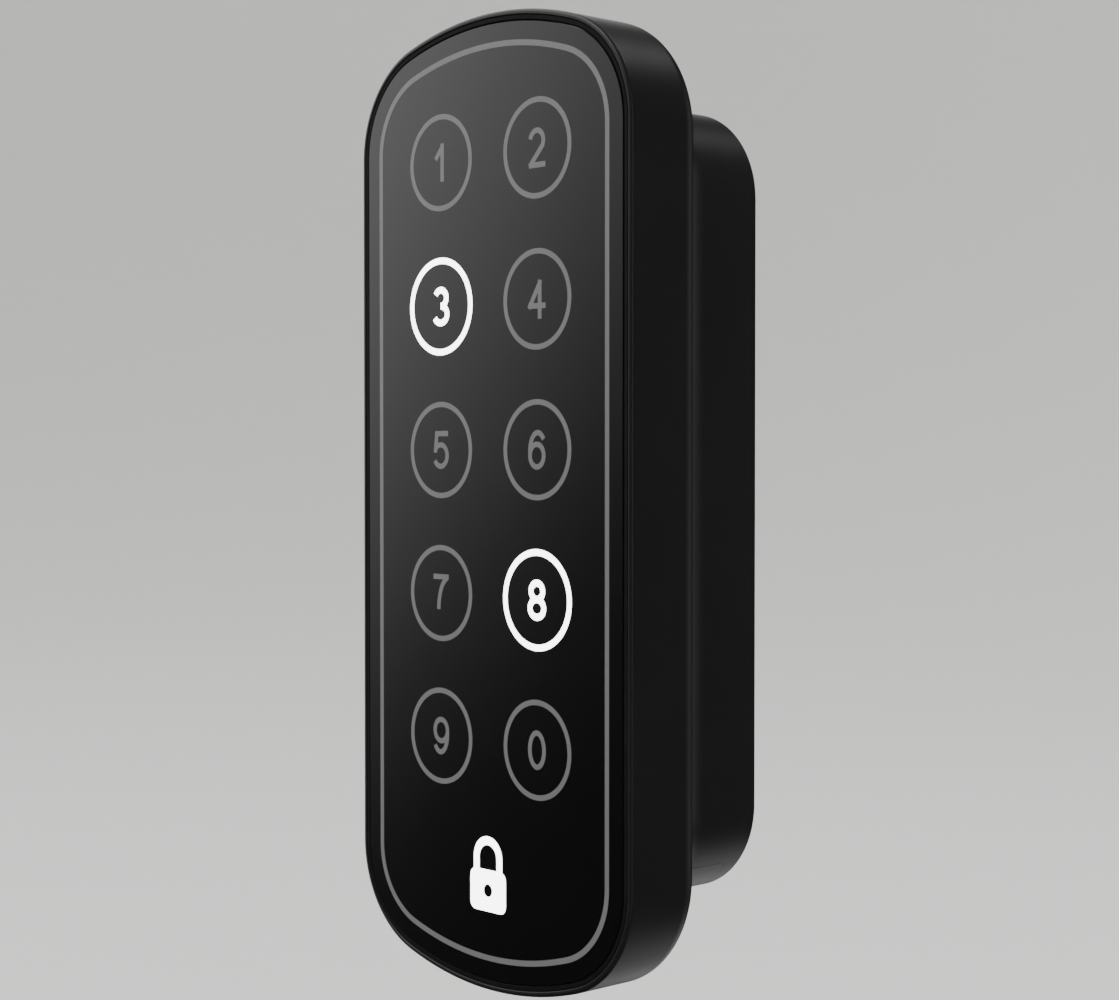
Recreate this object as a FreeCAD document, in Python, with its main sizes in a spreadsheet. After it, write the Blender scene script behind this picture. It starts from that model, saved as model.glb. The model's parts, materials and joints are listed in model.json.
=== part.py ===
import FreeCAD, Part

import math
import os

import Sketcher
from FreeCAD import Placement, Rotation, Vector

# Battery-powered keypad lock for a cabinet or locker door. A head with a touch glass stands on a
# narrower neck, which can be gripped as a pull. A small motor in the neck turns a cam behind the door
# through a three-stage gear train, and two cells slide out of the foot of the neck in a tray.
#
# Frame, in millimetres: +Z up, +X to the right seen from in front of the door, +Y into the door. The
# origin is in the middle of the back plate, on the door's surface. "Height" below means the distance
# in front of the door, towards -Y; heights behind the door are negative.

DIMENSIONS = {
    # Outlines: straight sides, crowned ends, round corners
    "head_half_width": 27.25,
    "head_half_height": 65.0,
    "head_crown": 55.5,
    "head_corner": 15.0,
    "neck_half_width": 18.5,
    "neck_half_height": 55.0,
    "neck_crown": 35.0,
    "neck_corner": 13.0,
    # Heights of the stack in the head
    "glass_front": 32.5,
    "glass_back": 30.9,
    "rim_front": 30.6,
    "guide_front": 30.8,
    "guide_back": 29.4,
    "keypad_front": 29.2,
    "keypad_back": 28.2,
    "main_front": 26.6,
    "main_back": 25.4,
    "head_floor": 23.0,
    # Flank between the head and the neck, and the rounding of its two ends
    "flank_top": 21.4,
    "flank_foot": 14.5,
    "shoulder_radius": 3.0,
    "cove_radius": 7.5,
    # Insets from the outlines
    "no_inset": 0.0,
    "rim_width": 0.75,
    "rim_edge_radius": 0.5,
    "bezel_outer": 0.8,
    "bezel_inner": 1.45,
    "bezel_drop": 0.05,
    "glass_inset": 1.5,
    "glass_edge": 0.15,
    "adhesive_outer": 1.6,
    "head_wall": 3.2,
    "board_inset": 3.5,
    "neck_wall": 2.0,
    "recess_inset": 1.2,
    "plate_inset": 1.3,
    "gasket_inner": 1.95,
    # Neck, from the door upwards
    "plate_thick": 2.0,
    "gasket_thick": 0.4,
    "gear_roof": 19.8,
    "gear_sill": 6.0,
    "bay_roof": 18.6,
    "bay_half_width": 16.2,
    "bay_top": 4.9,
    "bay_foot": 47.3,
    "mouth_half_width": 15.8,
    "mouth_low": 2.4,
    "mouth_high": 18.4,
    "foot_reach": 62.0,
    # Gear train: axis places, and modules of the three meshes
    "cam_z": 19.0,
    "second_x": 6.6,
    "first_x": -4.9,
    "module_first": 0.5,
    "module_second": 0.6,
    "module_output": 0.8,
    "pinion_teeth": 10,
    "first_teeth": 32,
    "second_teeth": 30,
    "output_teeth": 30,
    "pinion_shift": 0.4,
    "backlash": 0.06,
    "running_gap": 0.05,
    "axle_radius": 1.0,
    "boss_radius": 2.4,
    # Gear levels
    "output_low": 4.5,
    "output_high": 7.5,
    "second_low": 8.0,
    "second_high": 10.0,
    "first_low": 10.5,
    "first_high": 12.5,
    "hub_gap": 0.1,
    "carrier_low": 13.0,
    "carrier_high": 14.5,
    # Motor
    "motor_radius": 6.0,
    "motor_low": 14.5,
    "motor_high": 27.0,
    "motor_shaft_radius": 0.75,
    # Spindle and what it carries
    "spindle_radius": 4.0,
    "spindle_shoulder": 8.0,
    "pilot_radius": 2.0,
    "spigot_radius": 8.0,
    "spigot_length": 4.0,
    "square_width": 6.0,
    "cam_front": -5.5,
    "cam_back": -8.0,
    "cam_hub_radius": 9.0,
    "cam_tip_width": 14.0,
    "cam_reach": 40.0,
    "washer_thick": 0.6,
    "washer_radius": 4.5,
    "cam_screw_radius": 2.0,
    "cam_screw_head": 3.5,
    "cam_screw_head_height": 2.4,
    "magnet_orbit": 9.0,
    "magnet_radius": 1.5,
    # Fastening to the door
    "insert_x": 10.5,
    "insert_z": 45.5,
    "insert_radius": 2.8,
    "insert_thread": 1.65,
    "insert_length": 5.0,
    "insert_boss": 3.8,
    # Posts between the back plate and the gear carrier
    "post_radius": 2.25,
    "post_hole_foot": 7.5,
    "post_screw_foot": 8.0,
    "upper_post_x": 11.5,
    "upper_post_z": 46.5,
    "lower_post_x": 13.2,
    "lower_post_z": 8.6,
    # Cells and tray
    "cell_radius": 7.25,
    "cell_length": 49.5,
    "cell_pitch": 14.8,
    "cell_height": 10.65,
    "cell_foot": -47.1,
    "tray_low": 2.6,
    "tray_floor": 0.7,
    "tray_rail_outer": 15.4,
    "tray_rail": 0.6,
    "tray_rail_top": 10.0,
    "tray_top": 3.2,
    "tray_front_half_width": 15.6,
    "tray_front_high": 18.2,
    "tray_front_top": -47.6,
    "seal_low": -48.9,
    "seal_high": -48.1,
    "seal_depth": 0.5,
    "notch_radius": 3.2,
    "notch_half_width": 7.0,
    "notch_z": -56.8,
    "notch_height": 9.0,
    # Bosses and screws
    "board_stud_x": 20.0,
    "board_stud_low": -46.0,
    "board_stud_high": 30.0,
    "board_stud_radius": 2.5,
    "small_thread": 0.8,
    "cassette_x": 12.2,
    "cassette_low_z": 22.0,
    "cassette_high_x": 11.0,
    "cassette_high_z": 38.0,
    "cassette_boss": 2.6,
    "screw_clearance": 1.15,
    "screw_thread": 1.0,
    "motor_hole_radius": 6.4,
    "lead_hole_radius": 1.8,
    "lead_hole_x": -12.0,
    "lead_hole_z": 2.0,
    "main_board_top": 37.0,
    "axle_foot": 0.8,
    "carrier_inset": 2.2,
    "collar_height": 3.0,
    "collar_wall": 0.5,
    "pinion_hole_radius": 3.5,
    "seal_seat_radius": 3.0,
    "seal_ring_radius": 3.52,
    "seal_cord_radius": 0.5,
    "cell_nub": 1.0,
    "cell_nub_radius": 2.7,
    # Keypad
    "key_pitch": 19.5,
    "key_mid_z": 7.2,
    "status_z": -48.8,
    "lamp_height": 0.6,
    "lamp_pocket": 0.75,
    # Emergency supply pins in the foot of the head
    "pin_x": 4.0,
    "pin_height": 26.6,
    "pin_radius": 1.4,
    "pin_outer": 64.7,
    "pin_inner": 61.75,
}

doc = FreeCAD.newDocument("keypad_lock")
sheet = doc.addObject("Spreadsheet::Sheet", "Size")
for row, (alias, value) in enumerate(DIMENSIONS.items(), start=1):
    sheet.set(f"A{row}", alias)
    sheet.set(f"B{row}", str(value))
    sheet.setAlias(f"B{row}", alias)
doc.recompute()

STANDING = Rotation(Vector(1, 0, 0), 90)
SIDES = (-1, 1)
nodes = {}


def bound(formula):
    """The formula with each dimension's name turned into a reference to its cell."""
    words = formula.replace("(", " ( ").replace(")", " ) ").split()
    return " ".join(f"Size.{word}" if word in DIMENSIONS else word for word in words)


def value_of(formula):
    """The present value of a formula that only adds and subtracts, such as 'head_back - 2'."""
    total = 0.0
    sign = 1
    for word in formula.split():
        if word in "+-":
            sign = 1 if word == "+" else -1
            continue
        total += sign * (float(sheet.get(word)) if word in DIMENSIONS else float(word))
        sign = 1
    return total


def bind(item, **formulas):
    """Bind each named property of the item to its formula."""
    for prop, formula in formulas.items():
        item.setExpression(prop, bound(formula))


def place(item, x, height, z, turn=STANDING):
    """Put the item's own origin at x and z, at this height in front of the door."""
    item.Placement = Placement(Vector(), turn)
    item.setExpression(".Placement.Base.x", bound(x))
    item.setExpression(".Placement.Base.y", bound(f"0 - ( {height} )"))
    item.setExpression(".Placement.Base.z", bound(z))


def keep(node, item):
    """Name the item as a finished piece of the lock."""
    item.Label = node
    nodes[node] = item
    return item


def signed(side, alias):
    """The dimension on the left (-1) or the right (1) of the middle plane."""
    return alias if side > 0 else f"0 - {alias}"


# ---------------------------------------------------------------- plain solids


def cylinder(name, radius, low, high, x="0", z="0"):
    """Round solid square to the door, between two heights."""
    item = doc.addObject("Part::Cylinder", name)
    bind(item, Radius=radius, Height=f"( {high} ) - ( {low} )")
    place(item, x, low, z)
    return item


def block(name, x, z, width, tall, low, high):
    """Rectangular solid between two heights, its middle at x and z."""
    item = doc.addObject("Part::Box", name)
    bind(item, Length=width, Width=tall, Height=f"( {high} ) - ( {low} )")
    place(item, f"{x} - ( {width} ) / 2", low, f"{z} - ( {tall} ) / 2")
    return item


def fuse(name, *items):
    """One solid from several."""
    item = doc.addObject("Part::MultiFuse", name)
    item.Shapes = list(items)
    return item


def group(name, *items):
    """Several separate solids that share a node."""
    item = doc.addObject("Part::Compound", name)
    item.Links = list(items)
    return item


def cut(name, base, *tools):
    """The base with every tool taken out of it."""
    item = doc.addObject("Part::Cut", name)
    item.Base = base
    item.Tool = tools[0] if len(tools) == 1 else fuse(f"{name}_tools", *tools)
    return item


def tube(name, outer, inner, low, high, x="0", z="0"):
    """Ring or sleeve square to the door."""
    wall = cylinder(f"{name}_outer", outer, low, high, x, z)
    hole = cylinder(f"{name}_inner", inner, f"{low} - 1", f"{high} + 1", x, z)
    return cut(name, wall, hole)


def screw(name, x, z, tip, seat, radius, head_radius, head_height, facing=1):
    """Screw from its tip to its seat, with a hexagon socket in a head that faces away from the tip."""
    top = f"{seat} + {head_height}" if facing > 0 else seat
    foot = seat if facing > 0 else f"{seat} - {head_height}"
    ends = (tip, seat) if facing > 0 else (seat, tip)
    shank = cylinder(f"{name}_shank", radius, *ends, x, z)
    crown = cylinder(f"{name}_head", head_radius, foot, top, x, z)
    socket = doc.addObject("Part::Prism", f"{name}_socket")
    socket.Polygon = 6
    bind(socket, Circumradius=f"{head_radius} / 2", Height=f"{head_height} / 2")
    place(socket, x, f"{top} - {head_height} / 2" if facing > 0 else foot, z)
    return cut(name, fuse(f"{name}_solid", shank, crown), socket)


# ---------------------------------------------------------------- bodies, sketches and features


def new_body(name):
    """Empty part design body."""
    return doc.addObject("PartDesign::Body", name)


def new_sketch(body, name, height):
    """Sketch square to the door at this height, with sketch x and y along +X and +Z."""
    sketch = body.newObject("Sketcher::SketchObject", name)
    plane = next(item for item in body.Origin.OriginFeatures if item.Role == "XZ_Plane")
    sketch.AttachmentSupport = [(plane, "")]
    sketch.MapMode = "FlatFace"
    sketch.setExpression(".AttachmentOffset.Base.z", bound(height))
    return sketch


def dimension(sketch, name, formula, *constraint):
    """Add a driving constraint and bind it to its formula."""
    index = sketch.addConstraint(Sketcher.Constraint(*constraint, value_of(formula)))
    sketch.renameConstraint(index, name)
    sketch.setExpression(f"Constraints.{name}", bound(formula))


def arc(x, y, radius, start, end):
    """Arc of a circle in a sketch, from one angle to the other, anticlockwise."""
    circle = Part.Circle(Vector(x, y, 0), Vector(0, 0, 1), radius)
    return Part.ArcOfCircle(circle, start, end)


def crowned_outline(body, name, family, inset, height, sill=None):
    """Closed outline with straight sides, crowned ends and round corners.

    family is head or neck, inset is how far inside that outline it runs, and sill, where given, is
    a level line that closes the outline at the bottom instead of its lower end.
    """
    sketch = new_sketch(body, name, height)
    half_width = value_of(f"{family}_half_width - {inset}")
    crown = value_of(f"{family}_crown - {inset}")
    corner = value_of(f"{family}_corner - {inset}")
    rise = value_of(f"{family}_half_height - {family}_crown")
    reach = half_width - corner
    spring = rise + math.sqrt((crown - corner) ** 2 - reach**2)
    lean = math.atan2(spring - rise, reach)
    foot = -spring if sill is None else value_of(sill)
    top = [
        arc(reach, spring, corner, 0, lean),
        arc(0, rise, crown, lean, math.pi - lean),
        arc(-reach, spring, corner, math.pi - lean, math.pi),
    ]
    right = Part.LineSegment(Vector(half_width, foot, 0), Vector(half_width, spring, 0))
    left = Part.LineSegment(Vector(-half_width, spring, 0), Vector(-half_width, foot, 0))
    if sill is None:
        bottom = [
            arc(-reach, -spring, corner, math.pi, math.pi + lean),
            arc(0, -rise, crown, math.pi + lean, 2 * math.pi - lean),
            arc(reach, -spring, corner, 2 * math.pi - lean, 2 * math.pi),
        ]
    else:
        ends = Vector(-half_width, foot, 0), Vector(half_width, foot, 0)
        bottom = [Part.LineSegment(*ends)]
    sketch.addGeometry([right, *top, left, *bottom], False)
    rules = [Sketcher.Constraint("Tangent", i, 2, i + 1, 1) for i in range(4)]
    rules.append(Sketcher.Constraint("Equal", 1, 3))
    rules.append(Sketcher.Constraint("Symmetric", 0, 2, 4, 1, -2))
    rules.append(Sketcher.Constraint("Symmetric", 0, 1, 4, 2, -2))
    if sill is None:
        rules += [Sketcher.Constraint("Tangent", i, 2, (i + 1) % 8, 1) for i in range(4, 8)]
        rules += [Sketcher.Constraint("Equal", 1, i) for i in (5, 7)]
        rules.append(Sketcher.Constraint("Equal", 2, 6))
        rules.append(Sketcher.Constraint("Symmetric", 0, 1, 0, 2, -1))
    else:
        rules.append(Sketcher.Constraint("Coincident", 4, 2, 5, 1))
        rules.append(Sketcher.Constraint("Coincident", 5, 2, 0, 1))
        rules.append(Sketcher.Constraint("Vertical", 0))
    sketch.addConstraint(rules)
    dimension(sketch, "corner", f"{family}_corner - {inset}", "Radius", 1)
    dimension(sketch, "crown", f"{family}_crown - {inset}", "Radius", 2)
    dimension(sketch, "half_width", f"{family}_half_width - {inset}", "DistanceX", -1, 1, 0, 2)
    dimension(sketch, "rise", f"{family}_half_height - {family}_crown", "DistanceY", -1, 1, 2, 3)
    if sill is not None:
        dimension(sketch, "sill", sill, "DistanceY", -1, 1, 0, 1)
    return sketch


def rectangle(body, name, height, half_width, z_low, z_high):
    """Rectangle across the middle plane, between two levels."""
    sketch = new_sketch(body, name, height)
    half, low, high = (value_of(formula) for formula in (half_width, z_low, z_high))
    corners = [Vector(half, low, 0), Vector(half, high, 0), Vector(-half, high, 0), Vector(-half, low, 0)]
    sides = [Part.LineSegment(corners[i], corners[(i + 1) % 4]) for i in range(4)]
    sketch.addGeometry(sides, False)
    rules = [Sketcher.Constraint("Coincident", i, 2, (i + 1) % 4, 1) for i in range(4)]
    rules += [Sketcher.Constraint("Vertical", 0), Sketcher.Constraint("Horizontal", 1)]
    rules.append(Sketcher.Constraint("Symmetric", 0, 1, 2, 2, -2))
    rules.append(Sketcher.Constraint("Vertical", 2))
    sketch.addConstraint(rules)
    dimension(sketch, "half_width", half_width, "DistanceX", -1, 1, 0, 1)
    dimension(sketch, "z_low", z_low, "DistanceY", -1, 1, 0, 1)
    dimension(sketch, "z_high", z_high, "DistanceY", -1, 1, 0, 2)
    return sketch


def circles(body, name, height, radius, spots):
    """Circles of one radius at each (x, z) spot, given as formulas."""
    sketch = new_sketch(body, name, height)
    for index, (x, z) in enumerate(spots):
        middle = Vector(value_of(x), value_of(z), 0)
        sketch.addGeometry(Part.Circle(middle, Vector(0, 0, 1), value_of(radius)), False)
        dimension(sketch, f"radius_{index}", radius, "Radius", index)
        for axis, rule, formula in (("x", "DistanceX", x), ("z", "DistanceY", z)):
            if formula == "0":
                line = -2 if axis == "x" else -1
                sketch.addConstraint(Sketcher.Constraint("PointOnObject", index, 3, line))
            else:
                dimension(sketch, f"{axis}_{index}", formula, rule, -1, 1, index, 3)
    return sketch


def pad(body, sketch, length):
    """Grow the sketch away from the door."""
    feature = body.newObject("PartDesign::Pad", f"{sketch.Name}_pad")
    feature.Profile = sketch
    bind(feature, Length=length)
    doc.recompute()
    return feature


def pocket(body, sketch, depth, away_from_door=False):
    """Cut the sketch into the body, and make sure that it took something out."""
    before = body.Shape.Volume
    feature = body.newObject("PartDesign::Pocket", f"{sketch.Name}_pocket")
    feature.Profile = sketch
    feature.Reversed = away_from_door
    bind(feature, Length=depth)
    doc.recompute()
    if body.Shape.Volume > before - 0.01:
        raise RuntimeError(f"{feature.Name} cuts nothing")
    return feature


def dress(body, kind, name, edges, **formulas):
    """Fillet or chamfer the numbered edges of the body's last feature."""
    feature = body.newObject(f"PartDesign::{kind}", name)
    feature.Base = (feature.BaseFeature, [f"Edge{number}" for number in edges])
    bind(feature, **formulas)
    doc.recompute()
    return feature


def edges_at(shape, height, family, within):
    """Numbers of the edges flat at a height that lie within an outline's box, or else reach out of it."""
    half_width = value_of(f"{family}_half_width") + 0.01
    half_height = value_of(f"{family}_half_height") + 0.01
    found = []
    for index, edge in enumerate(shape.Edges, start=1):
        box = edge.BoundBox
        flat = box.YLength < 0.001 and abs(box.YMin + height) < 0.001
        inside = max(-box.XMin, box.XMax) < half_width and max(-box.ZMin, box.ZMax) < half_height
        if flat and inside == within:
            found.append(index)
    return found


def crowned_plate(name, family, inset, low, high):
    """Flat plate with a crowned outline."""
    body = new_body(name)
    pad(body, crowned_outline(body, f"{name}_outline", family, inset, low), f"( {high} ) - ( {low} )")
    return body


def crowned_ring(name, family, outer, inner, low, high):
    """Flat ring between two crowned outlines."""
    body = crowned_plate(name, family, outer, low, high)
    hole = crowned_outline(body, f"{name}_hole", family, inner, high)
    pocket(body, hole, f"( {high} ) - ( {low} )")
    return body


# ---------------------------------------------------------------- gears

PRESSURE_ANGLE = math.radians(20)


def involute(angle):
    """The involute function."""
    return math.tan(angle) - angle


def at_angle(radius, angle):
    """Point of the gear's plane."""
    return Vector(radius * math.cos(angle), radius * math.sin(angle), 0)


def toothed_disc(teeth, module, shift, tooth_at, low, high):
    """Spur gear on the origin, one tooth's middle at the angle tooth_at, between two heights."""
    base = module * teeth / 2 * math.cos(PRESSURE_ANGLE)
    tip = module * (teeth / 2 + 1 + shift)
    root = module * (teeth / 2 - 1.25 + shift)
    start = max(base, root)
    play = value_of("backlash") / (module * teeth)
    half_at_pitch = (math.pi / 2 + 2 * shift * math.tan(PRESSURE_ANGLE)) / teeth - play

    def half_tooth(radius):
        lean = math.acos(min(1.0, base / radius))
        return half_at_pitch + involute(PRESSURE_ANGLE) - involute(lean)

    steps = [start + (tip - start) * (step / 5) ** 1.5 for step in range(6)]
    edges = []
    for tooth in range(teeth):
        middle = tooth_at + 2 * math.pi * tooth / teeth
        following = middle + 2 * math.pi / teeth
        rising = [at_angle(radius, middle - half_tooth(radius)) for radius in steps]
        falling = [at_angle(radius, middle + half_tooth(radius)) for radius in reversed(steps)]
        foot = half_tooth(start)
        foot_in = at_angle(root, middle - foot)
        foot_out = at_angle(root, middle + foot)
        gap_end = at_angle(root, following - foot)
        gap_middle = at_angle(root, middle + math.pi / teeth)
        flank_up = Part.BSplineCurve()
        flank_up.interpolate(rising)
        flank_down = Part.BSplineCurve()
        flank_down.interpolate(falling)
        edges.append(Part.LineSegment(foot_in, rising[0]).toShape())
        edges.append(flank_up.toShape())
        edges.append(Part.Arc(rising[-1], at_angle(tip, middle), falling[0]).toShape())
        edges.append(flank_down.toShape())
        edges.append(Part.LineSegment(falling[-1], foot_out).toShape())
        edges.append(Part.Arc(foot_out, gap_middle, gap_end).toShape())
    face = Part.Face(Part.Wire(edges))
    solid = face.extrude(Vector(0, 0, high - low))
    solid.translate(Vector(0, 0, low))
    return solid


def round_bar(radius, low, high):
    """Cylinder on the gear's own axis."""
    return Part.makeCylinder(radius, high - low, Vector(0, 0, low))


def gear_feature(name, shape, x, z):
    """Document object for a worked-out gear, standing on its axis."""
    item = doc.addObject("Part::Feature", name)
    item.Shape = shape
    item.Placement = Placement(Vector(x, 0, z), STANDING)
    return item


# ---------------------------------------------------------------- places of the gear train

teeth = {name: int(value_of(f"{name}_teeth")) for name in ("pinion", "first", "second", "output")}
modules = {name: value_of(f"module_{name}") for name in ("first", "second", "output")}


def spacing(wheel):
    """Centre distance between a wheel and the pinion that drives it."""
    return modules[wheel] * (teeth["pinion"] + teeth[wheel]) / 2


def stepped_up(x, z, new_x, distance):
    """The level of the next axis at new_x, this distance above and away from (x, z)."""
    return z + math.sqrt(distance**2 - (new_x - x) ** 2)


cam_axis = (0.0, value_of("cam_z"))
second_z = stepped_up(*cam_axis, value_of("second_x"), spacing("output"))
second_axis = (value_of("second_x"), second_z)
first_z = stepped_up(*second_axis, value_of("first_x"), spacing("second"))
first_axis = (value_of("first_x"), first_z)
motor_axis = (0.0, stepped_up(*first_axis, 0.0, spacing("first")))
for alias, level in (("second_z", second_z), ("first_z", first_z), ("motor_z", motor_axis[1])):
    DIMENSIONS[alias] = level
    row = len(DIMENSIONS)
    sheet.set(f"A{row}", alias)
    sheet.set(f"B{row}", repr(level))
    sheet.setAlias(f"B{row}", alias)
doc.recompute()


def direction(start, end):
    """Angle from one axis to another in the plane of the door."""
    return math.atan2(end[1] - start[1], end[0] - start[0])


def wheel(name, driven_by, own_axis, low, high):
    """The wheel of a pair, a gap of its teeth turned to the pinion that drives it."""
    tooth = direction(own_axis, driven_by) + math.pi / teeth[name]
    shift = -value_of("pinion_shift")
    return toothed_disc(teeth[name], modules[name], shift, tooth, low, high)


def pinion(name, own_axis, drives, low, high):
    """The pinion of a pair, one tooth turned to the wheel that it drives."""
    tooth = direction(own_axis, drives)
    return toothed_disc(teeth["pinion"], modules[name], value_of("pinion_shift"), tooth, low, high)


# ---------------------------------------------------------------- housing, bezel and glass

housing = new_body("housing_body")
pad(housing, crowned_outline(housing, "neck_profile", "neck", "no_inset", "0"), "rim_front")
head_profile = crowned_outline(housing, "head_profile", "head", "no_inset", "flank_top")
pad(housing, head_profile, "glass_front - flank_top")
flank = housing.newObject("PartDesign::AdditiveLoft", "flank")
flank.Profile = crowned_outline(housing, "flank_foot_profile", "neck", "no_inset", "flank_foot")
flank.Sections = [crowned_outline(housing, "flank_top_profile", "head", "no_inset", "flank_top")]
flank.Ruled = True
doc.recompute()
shoulder = edges_at(housing.Shape, value_of("flank_top"), "neck", within=False)
dress(housing, "Fillet", "shoulder", shoulder, Radius="shoulder_radius")
cove = edges_at(housing.Shape, value_of("flank_foot"), "neck", within=True)
dress(housing, "Fillet", "cove", cove, Radius="cove_radius")
rim_edge = edges_at(housing.Shape, value_of("glass_front"), "head", within=True)
dress(housing, "Fillet", "rim_edge", rim_edge, Radius="rim_edge_radius")
housing_blank = doc.addObject("Part::Feature", "housing_blank")
housing_blank.Shape = housing.Shape.copy()

glass_seat = crowned_outline(housing, "glass_seat", "head", "rim_width", "glass_front")
pocket(housing, glass_seat, "glass_front - rim_front")
head_cavity = crowned_outline(housing, "head_cavity", "head", "head_wall", "rim_front")
pocket(housing, head_cavity, "rim_front - head_floor")
gear_room = crowned_outline(housing, "gear_room", "neck", "neck_wall", "0", sill="gear_sill")
pocket(housing, gear_room, "gear_roof", away_from_door=True)
battery_bay = rectangle(housing, "battery_bay", "0", "bay_half_width", "0 - bay_foot", "bay_top")
pocket(housing, battery_bay, "bay_roof", away_from_door=True)
mouth_levels = ("0 - foot_reach", "0 - bay_foot + 0.2")
tray_mouth = rectangle(housing, "tray_mouth", "mouth_low", "mouth_half_width", *mouth_levels)
pocket(housing, tray_mouth, "mouth_high - mouth_low", away_from_door=True)
plate_recess = crowned_outline(housing, "plate_recess", "neck", "recess_inset", "0")
pocket(housing, plate_recess, "plate_thick + gasket_thick", away_from_door=True)
motor_spot = ("0", "motor_z")
motor_hole = circles(housing, "motor_hole", "head_floor", "motor_hole_radius", [motor_spot])
pocket(housing, motor_hole, "head_floor - gear_roof")
lead_spot = ("lead_hole_x", "lead_hole_z")
lead_hole = circles(housing, "lead_hole", "head_floor", "lead_hole_radius", [lead_spot])
pocket(housing, lead_hole, "head_floor - bay_roof")

stud_levels = ("board_stud_low", "board_stud_high")
stud_spots = [(signed(side, "board_stud_x"), level) for side in SIDES for level in stud_levels]
board_studs = circles(housing, "board_studs", "head_floor", "board_stud_radius", stud_spots)
pad(housing, board_studs, "main_back - head_floor")
stud_holes = circles(housing, "stud_holes", "main_back", "small_thread", stud_spots)
pocket(housing, stud_holes, "main_back - head_floor")

cassette_spots = [(signed(side, "cassette_x"), "cassette_low_z") for side in SIDES]
cassette_spots.append(("cassette_high_x", "cassette_high_z"))
cassette_bosses = circles(housing, "cassette_bosses", "carrier_high", "cassette_boss", cassette_spots)
pad(housing, cassette_bosses, "gear_roof - carrier_high")
cassette_holes = circles(housing, "cassette_holes", "head_floor", "screw_clearance", cassette_spots)
pocket(housing, cassette_holes, "head_floor - carrier_high")


def upright(name, radius, x, height, z_low, z_high):
    """Round solid along Z, between two levels."""
    item = doc.addObject("Part::Cylinder", name)
    bind(item, Radius=radius, Height=f"( {z_high} ) - ( {z_low} )")
    place(item, x, height, z_low, Rotation())
    return item


supply_levels = ("0 - head_half_height - 5", "head_wall + 1 - head_half_height")
supply_holes = [
    upright(f"supply_hole_{side}", "pin_radius", signed(side, "pin_x"), "pin_height", *supply_levels)
    for side in SIDES
]
keep("housing", cut("housing", housing, *supply_holes))

bezel_levels = ("rim_front", "glass_front - bezel_drop")
keep("bezel_ring", crowned_ring("bezel_body", "head", "bezel_outer", "bezel_inner", *bezel_levels))

glass = crowned_plate("glass_body", "head", "glass_inset", "glass_back", "glass_front")
glass_edges = edges_at(glass.Shape, value_of("glass_front"), "head", within=True)
dress(glass, "Chamfer", "glass_bevel", glass_edges, Size="glass_edge")
keep("cover_glass", glass)
adhesive_levels = ("rim_front", "glass_back")
adhesive = crowned_ring("adhesive_body", "head", "adhesive_outer", "head_wall", *adhesive_levels)
keep("glass_adhesive", adhesive)

# ---------------------------------------------------------------- keypad and main board

key_spots = [
    (f"{side} * key_pitch / 2", f"key_mid_z + {row} * key_pitch")
    for row in (2, 1, 0, -1, -2)
    for side in SIDES
]
lamp_spots = [(f"{x} + {shift}", z) for x, z in key_spots for shift in ("2.2", "-2.2")]
lamp_spots += [(shift, "status_z") for shift in ("-3.5", "0", "3.5")]
lamps = []
pockets = []
for index, (x, z) in enumerate(lamp_spots):
    levels = ("keypad_front", "keypad_front + lamp_height")
    lamps.append(block(f"lamp_{index}", x, z, "1.6", "0.8", *levels))
    levels = ("guide_back - 0.1", "keypad_front + lamp_pocket")
    pockets.append(block(f"lamp_pocket_{index}", x, z, "2", "1.2", *levels))
keep("key_lamps", group("key_lamps", *lamps))
guide = crowned_plate("guide_body", "head", "board_inset", "guide_back", "guide_front")
keep("light_guide", cut("light_guide", guide, *pockets))
keypad = crowned_plate("keypad_body", "head", "board_inset", "keypad_back", "keypad_front")
keep("keypad_board", keypad)

main_board = crowned_plate("main_board_body", "head", "board_inset", "main_back", "main_front")
motor_bight = rectangle(main_board, "motor_bight", "main_front", "head_half_width", "main_board_top", "70")
pocket(main_board, motor_bight, "main_front - main_back")
screw_holes = circles(main_board, "screw_holes", "main_front", "screw_thread", stud_spots)
pocket(main_board, screw_holes, "main_front - main_back")
keep("main_board", main_board)
keep("board_link", block("board_link", "0", "-52", "14", "3.6", "main_front", "keypad_back"))
chips = [
    block("controller", "7", "8", "8", "8", "main_front", "main_front + 1"),
    block("touch_chip", "-8", "2", "5", "5", "main_front", "main_front + 0.9"),
    block("memory", "9", "-12", "5", "4", "main_front", "main_front + 0.8"),
    block("motor_driver", "-4", "31", "5", "5", "main_back - 1", "main_back"),
    block("boost_coil", "5", "22", "4", "4", "main_back - 1.9", "main_back"),
    block("regulator", "2", "14", "3", "3", "main_back - 1", "main_back"),
    block("motor_socket", "9", "33", "6", "4", "main_front", "main_front + 1.4"),
    block("battery_socket", "-14", "8", "4", "6", "main_back - 2", "main_back"),
]
keep("main_board_chips", group("main_board_chips", *chips))
keep("radio_module", block("radio_module", "-10", "-26", "13", "18", "main_back - 1.9", "main_back"))
keep("buzzer", cylinder("buzzer", "4.5", "main_back - 2", "main_back", "12", "-24"))
board_screws = [
    screw(f"board_screw_{index}", x, z, "head_floor + 0.2", "main_front", "small_thread", "1.6", "1.1")
    for index, (x, z) in enumerate(stud_spots)
]
keep("board_screws", group("board_screws", *board_screws))

# ---------------------------------------------------------------- back plate and gear carrier

post_spots = [(signed(side, "upper_post_x"), "upper_post_z") for side in SIDES]
post_spots += [(signed(side, "lower_post_x"), "lower_post_z") for side in SIDES]
insert_spots = [(signed(side, "insert_x"), "insert_z") for side in SIDES]
axle_spots = {"first": ("first_x", "first_z"), "second": ("second_x", "second_z")}

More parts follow.
